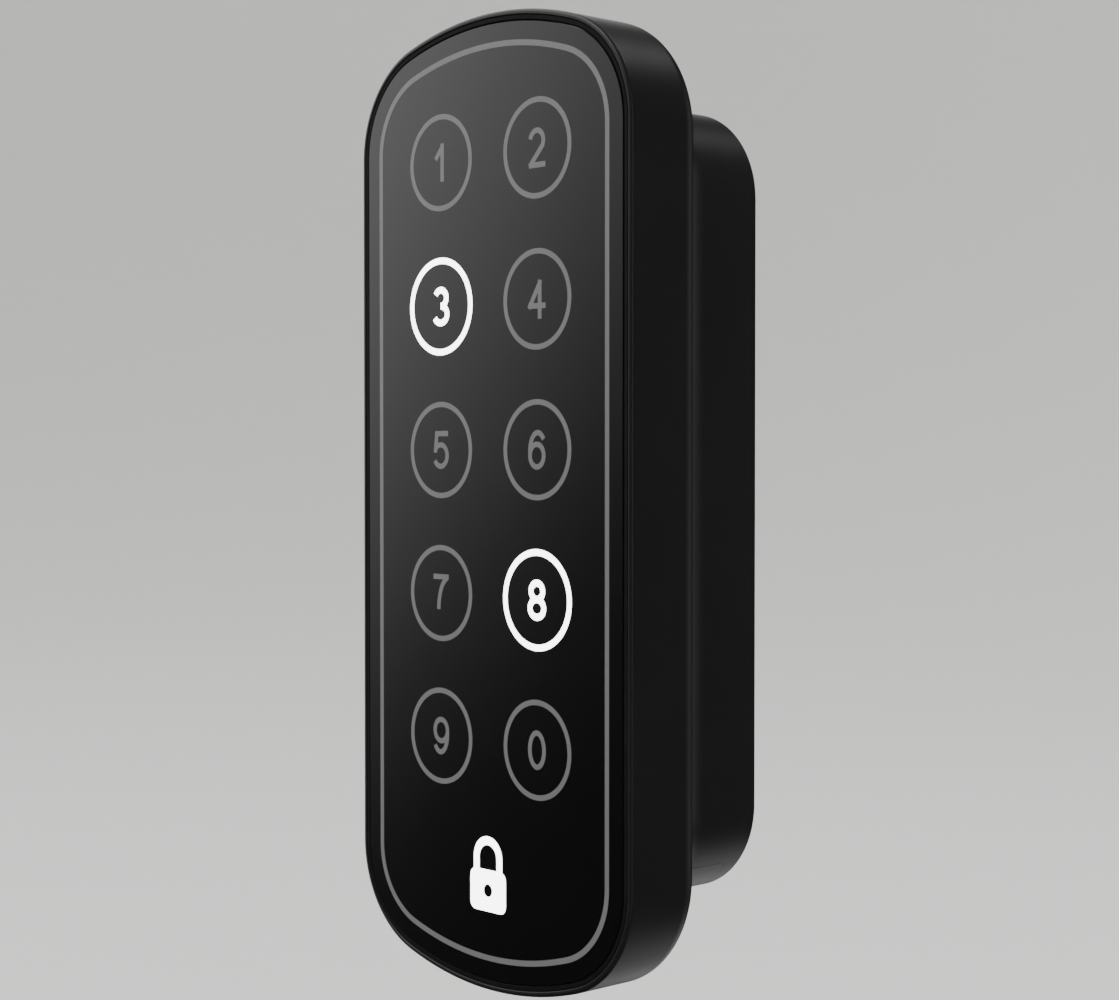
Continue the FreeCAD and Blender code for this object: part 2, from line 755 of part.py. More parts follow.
plate = crowned_plate("plate_body", "neck", "plate_inset", "0", "plate_thick")
plate_additions = [
    cylinder("spigot", "spigot_radius", "0 - spigot_length", "1", "0", "cam_z"),
    cylinder("collar", "spigot_radius - 1", "1", "output_low - 0.2", "0", "cam_z"),
    cylinder("first_boss", "boss_radius", "1", "second_low - 0.4", *axle_spots["first"]),
    cylinder("second_boss", "boss_radius", "1", "output_low - 0.4", *axle_spots["second"]),
]
plate_holes = [
    cylinder("spindle_bore", "spindle_radius + running_gap", "0 - 5", "5", "0", "cam_z"),
    cylinder("first_seat", "axle_radius", "axle_foot", "9", *axle_spots["first"]),
    cylinder("second_seat", "axle_radius", "axle_foot", "9", *axle_spots["second"]),
]
post_hole_levels = ("post_hole_foot", "carrier_high")
for index, (x, z) in enumerate(post_spots):
    plate_additions.append(cylinder(f"post_{index}", "post_radius", "1", "carrier_low", x, z))
    plate_holes.append(cylinder(f"post_hole_{index}", "screw_thread", *post_hole_levels, x, z))
for index, (x, z) in enumerate(insert_spots):
    boss_top = "insert_length + 0.6"
    plate_additions.append(cylinder(f"insert_boss_{index}", "insert_boss", "1", boss_top, x, z))
    plate_holes.append(cylinder(f"insert_hole_{index}", "insert_radius", "-1", "insert_length", x, z))
plate_solid = fuse("plate_solid", plate, *plate_additions)
keep("back_plate", cut("back_plate", plate_solid, *plate_holes))
gasket_levels = ("plate_thick", "plate_thick + gasket_thick")
keep("rear_gasket", crowned_ring("gasket_body", "neck", "plate_inset", "gasket_inner", *gasket_levels))
inserts = [
    tube(f"insert_{index}", "insert_radius", "insert_thread", "0.1", "insert_length", x, z)
    for index, (x, z) in enumerate(insert_spots)
]
keep("threaded_inserts", group("threaded_inserts", *inserts))

carrier = new_body("carrier_body")
carrier_profile = crowned_outline(
    carrier, "carrier_profile", "neck", "carrier_inset", "carrier_low", sill="gear_sill + 0.2"
)
pad(carrier, carrier_profile, "carrier_high - carrier_low")
collar_radius = "motor_radius + collar_wall"
motor_collar = circles(carrier, "motor_collar", "carrier_high", collar_radius, [motor_spot])
pad(carrier, motor_collar, "collar_height")
collar_top = "carrier_high + collar_height"
motor_seat = circles(carrier, "motor_seat", collar_top, "motor_radius", [motor_spot])
pocket(carrier, motor_seat, "collar_height")
carrier_holes = (
    ("pinion_hole", "pinion_hole_radius", [motor_spot]),
    ("pilot_bore", "pilot_radius + running_gap", [("0", "cam_z")]),
    ("axle_holes", "axle_radius", list(axle_spots.values())),
    ("post_holes", "screw_clearance", post_spots),
    ("cassette_threads", "screw_thread", cassette_spots),
)
for name, radius, spots in carrier_holes:
    holes = circles(carrier, name, "carrier_high", radius, spots)
    pocket(carrier, holes, "carrier_high - carrier_low")
keep("gear_carrier", carrier)
carrier_screw_size = ("screw_thread", "2", "1.4")
carrier_screws = [
    screw(f"carrier_screw_{index}", x, z, "post_screw_foot", "carrier_high", *carrier_screw_size)
    for index, (x, z) in enumerate(post_spots)
]
keep("carrier_screws", group("carrier_screws", *carrier_screws))
cassette_screws = [
    screw(f"cassette_screw_{index}", x, z, "carrier_low", "head_floor", *carrier_screw_size)
    for index, (x, z) in enumerate(cassette_spots)
]
keep("cassette_screws", group("cassette_screws", *cassette_screws))

# ---------------------------------------------------------------- motor and gears

can = cylinder("can", "motor_radius", "motor_low", "motor_high", "0", "motor_z")
shaft_bore = cylinder(
    "shaft_bore", "motor_shaft_radius + running_gap", "motor_low - 1", "motor_high - 2", "0", "motor_z"
)
tabs = [
    block(f"tab_{side}", signed(side, "2.5"), "motor_z", "0.4", "2", "motor_high - 0.5", "motor_high + 1")
    for side in SIDES
]
keep("motor_can", cut("motor_can", fuse("motor_solid", can, *tabs), shaft_bore))
keep(
    "motor_shaft",
    cylinder("motor_shaft", "motor_shaft_radius", "first_low - 0.2", "motor_high - 3", "0", "motor_z"),
)
motor_pinion_levels = (value_of("first_low - 0.2"), value_of("first_high + 0.2"))
motor_pinion = pinion("first", motor_axis, first_axis, *motor_pinion_levels)
motor_pinion = motor_pinion.cut(round_bar(value_of("motor_shaft_radius"), 0, 20))
keep("motor_pinion", gear_feature("motor_pinion_gear", motor_pinion, *motor_axis))

axle_bore = value_of("axle_radius + running_gap")
first_gear = wheel("first", motor_axis, first_axis, value_of("first_low"), value_of("first_high"))
second_drive_levels = (value_of("second_low - hub_gap"), value_of("first_low"))
second_drive = pinion("second", first_axis, second_axis, *second_drive_levels)
first_gear = first_gear.fuse(second_drive).cut(round_bar(axle_bore, 0, 20)).removeSplitter()
keep("first_gear", gear_feature("first_gear_solid", first_gear, *first_axis))
second_gear = wheel("second", first_axis, second_axis, value_of("second_low"), value_of("second_high"))
output_drive_levels = (value_of("output_low - hub_gap"), value_of("second_low"))
output_drive = pinion("output", second_axis, cam_axis, *output_drive_levels)
second_gear = second_gear.fuse(output_drive).cut(round_bar(axle_bore, 0, 20)).removeSplitter()
keep("second_gear", gear_feature("second_gear_solid", second_gear, *second_axis))
output_gear = wheel("output", second_axis, cam_axis, value_of("output_low"), value_of("output_high"))
output_gear = output_gear.cut(round_bar(value_of("spindle_radius"), 0, 20))
keep("output_gear", gear_feature("output_gear_solid", output_gear, *cam_axis))
for name, spot in axle_spots.items():
    keep(f"{name}_axle", cylinder(f"{name}_axle", "axle_radius", "axle_foot", "carrier_high", *spot))

# ---------------------------------------------------------------- spindle and cam

spindle_parts = [
    cylinder("spindle_body", "spindle_radius", "cam_front", "spindle_shoulder", "0", "cam_z"),
    cylinder("pilot", "pilot_radius", "spindle_shoulder", "carrier_high - 0.2", "0", "cam_z"),
    block("spindle_square", "0", "cam_z", "square_width", "square_width", "cam_back", "cam_front"),
]
spindle_cuts = [
    cylinder("cam_screw_hole", "cam_screw_radius", "cam_back - 1", "0", "0", "cam_z"),
    tube("seal_groove", "spindle_radius + 1", "seal_seat_radius", "-2.4", "-1.2", "0", "cam_z"),
]
keep("spindle", cut("spindle", fuse("spindle_solid", *spindle_parts), *spindle_cuts))
seal = doc.addObject("Part::Torus", "spindle_seal")
bind(seal, Radius1="seal_ring_radius", Radius2="seal_cord_radius")
place(seal, "0", "-1.8", "cam_z")
keep("spindle_seal", seal)
magnet_levels = ("output_high", "output_high + 1.5")
keep("position_magnet", cylinder("magnet", "magnet_radius", *magnet_levels, "0", "cam_z - magnet_orbit"))
sensor_levels = ("carrier_low - 0.9", "carrier_low")
keep("hall_sensor", block("hall_sensor", "0", "cam_z - magnet_orbit", "5", "3.4", *sensor_levels))

cam_levels = ("cam_back", "cam_front")
arm_length = "( cam_reach - cam_tip_width / 2 )"
cam_parts = [
    cylinder("cam_hub", "cam_hub_radius", *cam_levels, "0", "cam_z"),
    block("cam_arm", "0", f"cam_z - {arm_length} / 2", "cam_tip_width", arm_length, *cam_levels),
    cylinder("cam_tip", "cam_tip_width / 2", *cam_levels, "0", f"cam_z - {arm_length}"),
]
hole_levels = ("cam_back - 1", "cam_front + 1")
square_hole = block("square_hole", "0", "cam_z", "square_width", "square_width", *hole_levels)
keep("cam", cut("cam", fuse("cam_solid", *cam_parts), square_hole))
washer_levels = ("cam_back - washer_thick", "cam_back")
keep("cam_washer", tube("cam_washer", "washer_radius", "cam_screw_radius", *washer_levels, "0", "cam_z"))
cam_screw = screw(
    "cam_screw",
    "0",
    "cam_z",
    "-0.5",
    "cam_back - washer_thick",
    "cam_screw_radius",
    "cam_screw_head",
    "cam_screw_head_height",
    facing=-1,
)
keep("cam_screw", cam_screw)

# ---------------------------------------------------------------- cells, tray and contacts


def box(name, half_width, low, high, z_low, z_high):
    """Rectangular solid across the middle plane, between two heights and two levels."""
    width = f"2 * ( {half_width} )"
    middle = f"( {z_low} + {z_high} ) / 2"
    return block(name, "0", middle, width, f"( {z_high} ) - ( {z_low} )", low, high)


front_levels = ("tray_low", "tray_front_high")
front_reach = ("0 - foot_reach", "tray_front_top")
front_box = box("tray_front_box", "tray_front_half_width", *front_levels, *front_reach)
tray_front = doc.addObject("Part::Common", "tray_front")
tray_front.Base = housing_blank
tray_front.Tool = front_box
tray_parts = [
    tray_front,
    box("tray_floor", "tray_rail_outer", "tray_low", "tray_low + tray_floor", "tray_front_top", "tray_top"),
]
for side in SIDES:
    rail_x = signed(side, "tray_rail_outer")
    rail_middle = f"{rail_x} + {-side} * tray_rail / 2"
    rail_levels = ("tray_low", "tray_rail_top")
    tall = "( tray_top ) - ( tray_front_top )"
    middle = "( tray_top + tray_front_top ) / 2"
    tray_parts.append(block(f"tray_rail_{side}", rail_middle, middle, "tray_rail", tall, *rail_levels))
notch = doc.addObject("Part::Cylinder", "finger_notch")
bind(notch, Radius="notch_radius", Height="2 * notch_half_width")
place(notch, "0 - notch_half_width", "notch_height", "notch_z", Rotation(Vector(0, 1, 0), 90))
seal_levels = ("seal_low", "seal_high")
seal_inner = ("tray_low + seal_depth", "tray_front_high - seal_depth")
groove_outer = ("tray_front_half_width + 1", "tray_low - 1", "tray_front_high + 1")
seal_groove = cut(
    "seal_groove_ring",
    box("seal_groove_outer", *groove_outer, *seal_levels),
    box("seal_groove_inner", "tray_front_half_width - seal_depth", *seal_inner, *seal_levels),
)
keep("battery_tray", cut("battery_tray", fuse("tray_solid", *tray_parts), notch, seal_groove))
tray_seal = cut(
    "tray_seal",
    box("tray_seal_outer", "tray_front_half_width", *front_levels, *seal_levels),
    box("tray_seal_inner", "tray_front_half_width - seal_depth", *seal_inner, *seal_levels),
)
keep("tray_seal", tray_seal)

cells = []
for side in SIDES:
    x = f"{side} * cell_pitch / 2"
    rise = "cell_nub" if side < 0 else "no_inset"
    body_low = f"cell_foot + {rise}"
    body_high = f"{body_low} + cell_length"
    jacket = upright(f"cell_jacket_{side}", "cell_radius", x, "cell_height", body_low, body_high)
    nub_low = "cell_foot" if side < 0 else "cell_foot + cell_length"
    nub_levels = (nub_low, f"{nub_low} + cell_nub")
    nub = upright(f"cell_nub_{side}", "cell_nub_radius", x, "cell_height", *nub_levels)
    cells.append(fuse(f"cell_{side}", jacket, nub))
keep("battery_cells", group("battery_cells", *cells))
keep("cell_link", box("cell_link", "11", "8", "13.3", "tray_front_top", "tray_front_top + 0.4"))
keep("contact_board", box("contact_board", "14", "4", "17", "bay_top - 0.9", "bay_top"))
springs = []
for side in SIDES:
    x = f"{side} * cell_pitch / 2"
    leaf = block(f"leaf_{side}", x, "bay_top - 1.05", "10", "0.3", "7", "14.3")
    button = upright(f"button_{side}", "2", x, "cell_height", "bay_top - 1.4", "bay_top - 1.2")
    springs.append(fuse(f"contact_{side}", leaf, button))
keep("contact_springs", group("contact_springs", *springs))
pins = []
for side in SIDES:
    pin_levels = ("0 - pin_outer", "0 - pin_inner")
    pins.append(upright(f"pin_{side}", "pin_radius", signed(side, "pin_x"), "pin_height", *pin_levels))
keep("power_contacts", group("power_contacts", *pins))

# ---------------------------------------------------------------- check and write

doc.recompute()
for item in doc.Objects:
    if "Invalid" in item.State or "Error" in item.State:
        raise RuntimeError(f"{item.Label}: {item.State}")
for node, item in nodes.items():
    if item.Shape.isNull() or not item.Shape.isValid():
        raise RuntimeError(f"{node} has no valid shape")

os.makedirs("parts", exist_ok=True)
for node, item in nodes.items():
    item.Shape.exportStep(f"parts/{node}.step")
    solids = len(item.Shape.Solids)
    print(f"{node}: {solids} solid(s), {item.Shape.Volume:.1f} cubic mm")
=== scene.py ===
"""Looks of a battery-powered keypad lock: a touch glass in a rounded head, on a narrower neck.

Frame, in metres: +Z up, +X to the right seen from in front of the door, +Y into the door. The origin is in
the middle of the back plate, on the door's surface. "Height" means the distance in front of the door,
towards -Y, so heights behind the door are negative.
"""

import json
import logging
import math
from collections.abc import Callable, Iterable, Sequence
from dataclasses import dataclass, field
from enum import Enum

import bmesh
import bpy
from mathutils import Matrix, Vector, kdtree


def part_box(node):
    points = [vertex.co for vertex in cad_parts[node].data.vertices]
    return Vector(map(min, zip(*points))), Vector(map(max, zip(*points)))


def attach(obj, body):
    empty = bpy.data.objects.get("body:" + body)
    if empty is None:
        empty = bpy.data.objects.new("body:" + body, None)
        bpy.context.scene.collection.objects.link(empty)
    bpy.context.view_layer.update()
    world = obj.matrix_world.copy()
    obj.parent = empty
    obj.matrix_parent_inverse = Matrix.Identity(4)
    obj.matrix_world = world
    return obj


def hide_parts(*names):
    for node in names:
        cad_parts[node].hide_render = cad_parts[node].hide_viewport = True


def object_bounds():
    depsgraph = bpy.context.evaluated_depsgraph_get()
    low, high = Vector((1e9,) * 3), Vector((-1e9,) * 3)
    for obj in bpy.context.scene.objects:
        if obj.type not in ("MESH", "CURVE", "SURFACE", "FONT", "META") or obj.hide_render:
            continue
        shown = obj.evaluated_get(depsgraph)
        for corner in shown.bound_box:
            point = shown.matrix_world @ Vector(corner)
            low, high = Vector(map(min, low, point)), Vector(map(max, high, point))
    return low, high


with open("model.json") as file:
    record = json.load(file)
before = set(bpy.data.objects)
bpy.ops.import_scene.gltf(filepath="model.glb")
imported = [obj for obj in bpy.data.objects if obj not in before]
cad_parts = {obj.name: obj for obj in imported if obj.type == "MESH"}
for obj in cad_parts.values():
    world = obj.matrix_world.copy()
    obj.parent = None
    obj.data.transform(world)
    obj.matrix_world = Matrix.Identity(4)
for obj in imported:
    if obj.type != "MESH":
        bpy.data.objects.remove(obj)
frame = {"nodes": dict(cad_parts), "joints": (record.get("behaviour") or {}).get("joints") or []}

MM = 0.001
CAD_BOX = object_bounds()
CROWN_STEPS = 14
CORNER_STEPS = 30
ROUND = 96
MERGE = 1e-7
CREASE = 25.0
SOFT_ANGLE = math.radians(40.0)

log = logging.getLogger("keypad_lock")

Piece = bpy.types.Object
Node = bpy.types.Node
Socket = bpy.types.NodeSocket
Ring = list[Vector]
Path = list[tuple[float, float]]
Colour = tuple[float, float, float]


# ---------------------------------------------------------------- outlines and rings


@dataclass(frozen=True)
class Outline:
    """Outline with straight sides, crowned ends and round corners, centred on the origin."""

    half_width: float
    half_height: float
    crown: float
    corner: float

    def grown(self, by: float) -> "Outline":
        """The parallel outline that lies this far outside; a negative distance lies inside."""
        return Outline(self.half_width + by, self.half_height + by, self.crown + by, self.corner + by)

    def quarter(self) -> Path:
        """Points from the middle of the upper end to the top of the right-hand side."""
        side = self.half_width - self.corner
        reach = self.crown - self.corner
        crown_z = self.half_height - self.crown
        corner_z = crown_z + math.sqrt(reach**2 - side**2)
        turn = math.asin(side / reach)
        points = []
        for step in range(CROWN_STEPS):
            angle = turn * step / CROWN_STEPS
            points.append((self.crown * math.sin(angle), crown_z + self.crown * math.cos(angle)))
        for step in range(CORNER_STEPS + 1):
            angle = turn + (math.pi / 2 - turn) * step / CORNER_STEPS
            points.append((side + self.corner * math.sin(angle), corner_z + self.corner * math.cos(angle)))
        return points

    def at(self, height: float) -> Ring:
        """The outline as a ring of points at a height in front of the door.

        Args:
            height: The height.

        Returns:
            The points, in order.
        """
        right = self.quarter()
        left = right[1:]
        flat = right + [(x, -z) for x, z in reversed(right)]
        flat += [(-x, -z) for x, z in left] + [(-x, z) for x, z in reversed(left)]
        return [Vector((x, -height, z)) for x, z in flat]


def circle(radius: float, height: float, x: float = 0.0, z: float = 0.0, steps: int = ROUND) -> Ring:
    """Ring of points about an axis that runs into the door.

    Args:
        radius: Radius of the circle.
        height: Height in front of the door.
        x: Place of the axis.
        z: Place of the axis.
        steps: Number of points.

    Returns:
        The points, in order.
    """
    turns = [2 * math.pi * (step + 0.5) / steps for step in range(steps)]
    return [Vector((x + radius * math.sin(a), -height, z + radius * math.cos(a))) for a in turns]


def upright_circle(radius: float, z: float, x: float, height: float, steps: int = ROUND) -> Ring:
    """Ring of points about a vertical axis.

    Args:
        radius: Radius of the circle.
        z: Level of the ring.
        x: Place of the axis.
        height: Height of the axis in front of the door.
        steps: Number of points.

    Returns:
        The points, in order.
    """
    turns = [2 * math.pi * (step + 0.5) / steps for step in range(steps)]
    return [Vector((x + radius * math.sin(a), -height + radius * math.cos(a), z)) for a in turns]


def quarter_turn(steps: int) -> list[float]:
    """Angles from 0 to a right angle."""
    return [math.pi / 2 * step / steps for step in range(steps + 1)]


def quarter_round(size: float, steps: int) -> Path:
    """Set-backs on both sides of a rounded edge: the first grows from 0 to the size, the second shrinks."""
    return [(size * (1 - math.cos(turn)), size * (1 - math.sin(turn))) for turn in quarter_turn(steps)]


def spread(start: float, end: float, steps: int) -> list[float]:
    """Evenly spaced numbers from a start to an end, both included."""
    return [start + (end - start) * step / steps for step in range(steps + 1)]


# ---------------------------------------------------------------- modelling by hand


def only(piece: Piece) -> None:
    """Selects one object, makes it the active one and leaves the rest unselected."""
    bpy.ops.object.select_all(action="DESELECT")
    piece.select_set(True)
    bpy.context.view_layer.objects.active = piece


def named(name: str) -> Piece:
    """Names the new active object and its mesh, and returns it.

    Args:
        name: The name.

    Returns:
        The object.
    """
    piece = bpy.context.object
    piece.name = name
    piece.data.name = name
    return piece


def editing(piece: Piece) -> bmesh.types.BMesh:
    """The mesh that is open for editing."""
    mesh = bmesh.from_edit_mesh(piece.data)
    mesh.verts.ensure_lookup_table()
    return mesh


def pick_faces(piece: Piece, test: Callable[[Vector], bool]) -> None:
    """Selects the faces whose corners all pass a test, in edit mode.

    Args:
        piece: The object that is open for editing.
        test: Says whether a place belongs.
    """
    bpy.ops.mesh.select_mode(type="FACE")
    bpy.ops.mesh.select_all(action="DESELECT")
    mesh = editing(piece)
    for face in mesh.faces:
        face.select_set(all(test(vertex.co) for vertex in face.verts))
    mesh.select_flush_mode()
    bmesh.update_edit_mesh(piece.data)


def loft(name: str, rings: Sequence[Ring], loop: bool = False) -> Piece:
    """Skin through rings with the same number of points: one circle, extruded ring by ring.

    Args:
        name: Name of the new piece.
        rings: The rings, in order.
        loop: Whether the last ring closes on the first, as round a frame. Otherwise both ends get a face.

    Returns:
        The new piece, with its faces pointing outwards.
    """
    bpy.ops.object.select_all(action="DESELECT")
    bpy.ops.mesh.primitive_circle_add(vertices=len(rings[0]), radius=1)
    piece = named(name)
    bpy.ops.object.mode_set(mode="EDIT")
    bpy.ops.mesh.select_mode(type="EDGE")
    mesh = editing(piece)
    for vertex, point in zip(mesh.verts, rings[0]):
        vertex.co = point
    bmesh.update_edit_mesh(piece.data)
    if not loop:
        bpy.ops.mesh.edge_face_add()
        bpy.ops.mesh.select_mode(type="EDGE")
    steps = [*rings[1:], rings[0]] if loop else list(rings[1:])
    before = rings[0]
    for ring in steps:
        tree = kdtree.KDTree(len(before))
        for index, point in enumerate(before):
            tree.insert(point, index)
        tree.balance()
        bpy.ops.mesh.extrude_edges_indiv()
        mesh = editing(piece)
        for vertex in mesh.verts:
            if vertex.select:
                vertex.co = ring[tree.find(vertex.co)[1]]
        bmesh.update_edit_mesh(piece.data)
        before = ring
    if loop:
        bpy.ops.mesh.select_all(action="SELECT")
        bpy.ops.mesh.remove_doubles(threshold=MERGE)
    else:
        bpy.ops.mesh.edge_face_add()
    bpy.ops.mesh.select_all(action="SELECT")
    bpy.ops.mesh.normals_make_consistent(inside=False)
    bpy.ops.object.mode_set(mode="OBJECT")
    return piece


def block(name: str, low: Vector, high: Vector, rounding: float = 0.0, along: int | None = None) -> Piece:
    """Block between two corners, with its edges rounded.

    Args:
        name: Name of the new piece.
        low: Lowest corner.
        high: Highest corner.
        rounding: Radius of the edges.
        along: Axis whose parallel edges alone are rounded; all edges if it isn't given.

    Returns:
        The new piece.
    """
    bpy.ops.object.select_all(action="DESELECT")
    bpy.ops.mesh.primitive_cube_add(size=1, location=(low + high) / 2, scale=high - low)
    piece = named(name)
    bpy.ops.object.transform_apply(location=True, rotation=True, scale=True)
    if rounding:
        bpy.ops.object.mode_set(mode="EDIT")
        bpy.ops.mesh.select_mode(type="EDGE")
        bpy.ops.mesh.select_all(action="DESELECT")
        mesh = editing(piece)
        for edge in mesh.edges:
            run = edge.verts[0].co - edge.verts[1].co
            edge.select_set(along is None or abs(run[along]) > 0.9 * run.length)
        bmesh.update_edit_mesh(piece.data)
        bpy.ops.mesh.bevel(offset=rounding, segments=5, affect="EDGES")
        bpy.ops.object.mode_set(mode="OBJECT")
    return piece


def combine(piece: Piece, tool: Piece, operation: str) -> Piece:
    """Adds a tool shape to a piece, cuts it away or keeps what both share, and deletes the tool.

    Args:
        piece: The piece that is worked on.
        tool: The shape that is used up.
        operation: UNION, DIFFERENCE or INTERSECT.

    Returns:
        The piece.
    """
    only(piece)
    modifier = piece.modifiers.new("work", "BOOLEAN")
    modifier.operation = operation
    modifier.solver = "EXACT"
    modifier.object = tool
    bpy.ops.object.modifier_apply(modifier=modifier.name)
    bpy.data.objects.remove(tool)
    return piece


def copied(piece: Piece, name: str) -> Piece:
    """A copy of a piece with a mesh of its own.

    Args:
        piece: The piece.
        name: Name of the copy.

    Returns:
        The copy.
    """
    twin = piece.copy()
    twin.data = piece.data.copy()
    twin.name = name
    twin.data.name = name
    bpy.context.scene.collection.objects.link(twin)
    return twin


def moved(piece: Piece, x: float = 0.0, y: float = 0.0, z: float = 0.0) -> Piece:
    """Moves a piece's mesh, so that its object stays at the origin."""
    piece.data.transform(Matrix.Translation((x, y, z)))
    return piece


def softened(piece: Piece, width: float, segments: int) -> Piece:
    """Rounds the sharp edges of a piece.

    Args:
        piece: The piece.
        width: Width of the rounding.
        segments: Number of faces across it.

    Returns:
        The piece.
    """
    only(piece)
    modifier = piece.modifiers.new("edges", "BEVEL")
    modifier.width = width
    modifier.segments = segments
    modifier.limit_method = "ANGLE"
    modifier.angle_limit = SOFT_ANGLE
    modifier.use_clamp_overlap = True
    bpy.ops.object.modifier_apply(modifier=modifier.name)
    return piece


def smoothed(piece: Piece, angle: float = CREASE) -> Piece:
    """Shades a piece smoothly except across sharp edges, with its large faces kept flat.

    Args:
        piece: The piece.
        angle: Edges that turn by more than this many degrees stay sharp.

    Returns:
        The piece.
    """
    only(piece)
    bpy.ops.object.shade_smooth_by_angle(angle=math.radians(angle))
    modifier = piece.modifiers.new("normals", "WEIGHTED_NORMAL")
    modifier.keep_sharp = True
    bpy.ops.object.modifier_apply(modifier=modifier.name)
    return piece


# ---------------------------------------------------------------- finishes


class Grain(Enum):
    """Kinds of surface that a finish can have."""

    MOULDED = "moulded"
    BRUSHED = "brushed"
    CAST = "cast"


class Tree:
    """A node tree, with short ways to add nodes and wire them."""

    def __init__(self, tree: bpy.types.NodeTree) -> None:
        """Takes the tree that is built up."""
        self.tree = tree

    def add(self, kind: str, **settings: object) -> Node:
        """Adds a node.

        Args:
            kind: Blender's name of the node type, without ShaderNode.
            settings: Properties of the node, and values of its inputs, whose names end in an underscore
                and have underscores for spaces.

        Returns:
            The node.
        """
        node = self.tree.nodes.new(kind if kind.startswith("Node") else "ShaderNode" + kind)
        for name, value in settings.items():
            if name.endswith("_"):
                node.inputs[name[:-1].replace("_", " ")].default_value = value
            else:
                setattr(node, name, value)
        return node

    def wire(self, source: Socket, target: Socket) -> None:
        """Wires an output to an input."""
        self.tree.links.new(source, target)

    def span(self, source: Socket, low: float, high: float) -> Socket:
        """A value between 0 and 1 spread over another range.

        Args:
            source: The value.
            low: Start of the range.
            high: End of the range.

        Returns:
            The new value.
        """
        node = self.add("MapRange", To_Min_=low, To_Max_=high)
        self.wire(source, node.inputs["Value"])
        return node.outputs["Result"]

    def blend(self, mask: Socket, first: Colour | Socket, second: Colour) -> Socket:
        """A colour mix whose share comes from a mask.

        Args:
            mask: The share of the second colour.
            first: A colour, or the output that gives it.
            second: The other colour.

        Returns:
            The mixed colour.
        """
        node = self.add("Mix", data_type="RGBA")
        start, end = [socket for socket in node.inputs if socket.type == "RGBA"]
        if isinstance(first, tuple):
            start.default_value = (*first, 1)
        else:
            self.wire(first, start)
        end.default_value = (*second, 1)
        self.wire(mask, node.inputs["Factor"])
        return next(socket for socket in node.outputs if socket.type == "RGBA")


def group_of(name: str, label: str, usual: float, outputs: Iterable[str]) -> tuple[Tree, Node, Node]:
    """Starts a node group that puts out masks.

    Args:
        name: Name of the group.
        label: Name of its one input.
        usual: Usual value of that input.
        outputs: Names of its outputs.

    Returns:
        The tree, its input node and its output node.
    """
    tree = bpy.data.node_groups.new(name, "ShaderNodeTree")
    socket = tree.interface.new_socket(label, in_out="INPUT", socket_type="NodeSocketFloat")
    socket.default_value = usual
    for output in outputs:
        tree.interface.new_socket(output, in_out="OUTPUT", socket_type="NodeSocketFloat")
    build = Tree(tree)
    return build, build.add("NodeGroupInput"), build.add("NodeGroupOutput")


@dataclass(frozen=True)
class Texture:
    """A texture node's type and its settings."""

    kind: str
    settings: dict[str, object]


def grain_group(
    name: str, fine: Texture, cloud: Texture, speck: Texture, spot: dict[str, float], stretch: float = 1.0
) -> bpy.types.NodeTree:
    """Group that puts out a fine grain for the relief, slow clouds for the gloss and a few specks.

    Args:
        name: Name of the group.
        fine: Texture of the grain, whose scale is the group's input.
        cloud: Texture of the clouds.
        speck: Texture that the specks are picked from.
        spot: Range of that texture in which the specks lie.
        stretch: Share by which the grain's scale is smaller along the height.

    Returns:
        The group.
    """
    tree, source, result = group_of(name, "Scale", 9000.0, ("Grain", "Cloud", "Speck"))
    place = tree.add("TexCoord").outputs["Object"]
    drawn = tree.add("Mapping", Scale_=(1.0, 1.0, stretch))
    tree.wire(place, drawn.inputs["Vector"])
    places = {"Grain": drawn.outputs["Vector"], "Cloud": place, "Speck": place}
    made = {}
    for label, texture in (("Grain", fine), ("Cloud", cloud), ("Speck", speck)):
        made[label] = tree.add(texture.kind, **texture.settings)
        tree.wire(places[label], made[label].inputs["Vector"])
    tree.wire(source.outputs["Scale"], made["Grain"].inputs["Scale"])
    spots = tree.add("MapRange", **spot)
    tree.wire(made["Speck"].outputs[0], spots.inputs["Value"])
    tree.wire(made["Grain"].outputs[0], result.inputs["Grain"])
    tree.wire(made["Cloud"].outputs[0], result.inputs["Cloud"])
    tree.wire(spots.outputs["Result"], result.inputs["Speck"])
    return tree.tree


def edge_wear() -> bpy.types.NodeTree:
    """Mask of handled edges, broken up so that no line is even."""
    tree, source, result = group_of("edge_wear", "Reach", 0.53, ("Worn",))
    bend = tree.add("NewGeometry").outputs["Pointiness"]
    broken = tree.add("TexNoise", Scale_=700.0, Detail_=3.0)
    tree.wire(tree.add("TexCoord").outputs["Object"], broken.inputs["Vector"])
    edge = tree.add("MapRange", From_Max_=0.62)
    tree.wire(bend, edge.inputs["Value"])
    tree.wire(source.outputs["Reach"], edge.inputs["From Min"])
    both = tree.add("Math", operation="MULTIPLY")
    tree.wire(edge.outputs["Result"], both.inputs[0])
    tree.wire(broken.outputs["Fac"], both.inputs[1])
    tree.wire(both.outputs["Value"], result.inputs["Worn"])
    return tree.tree


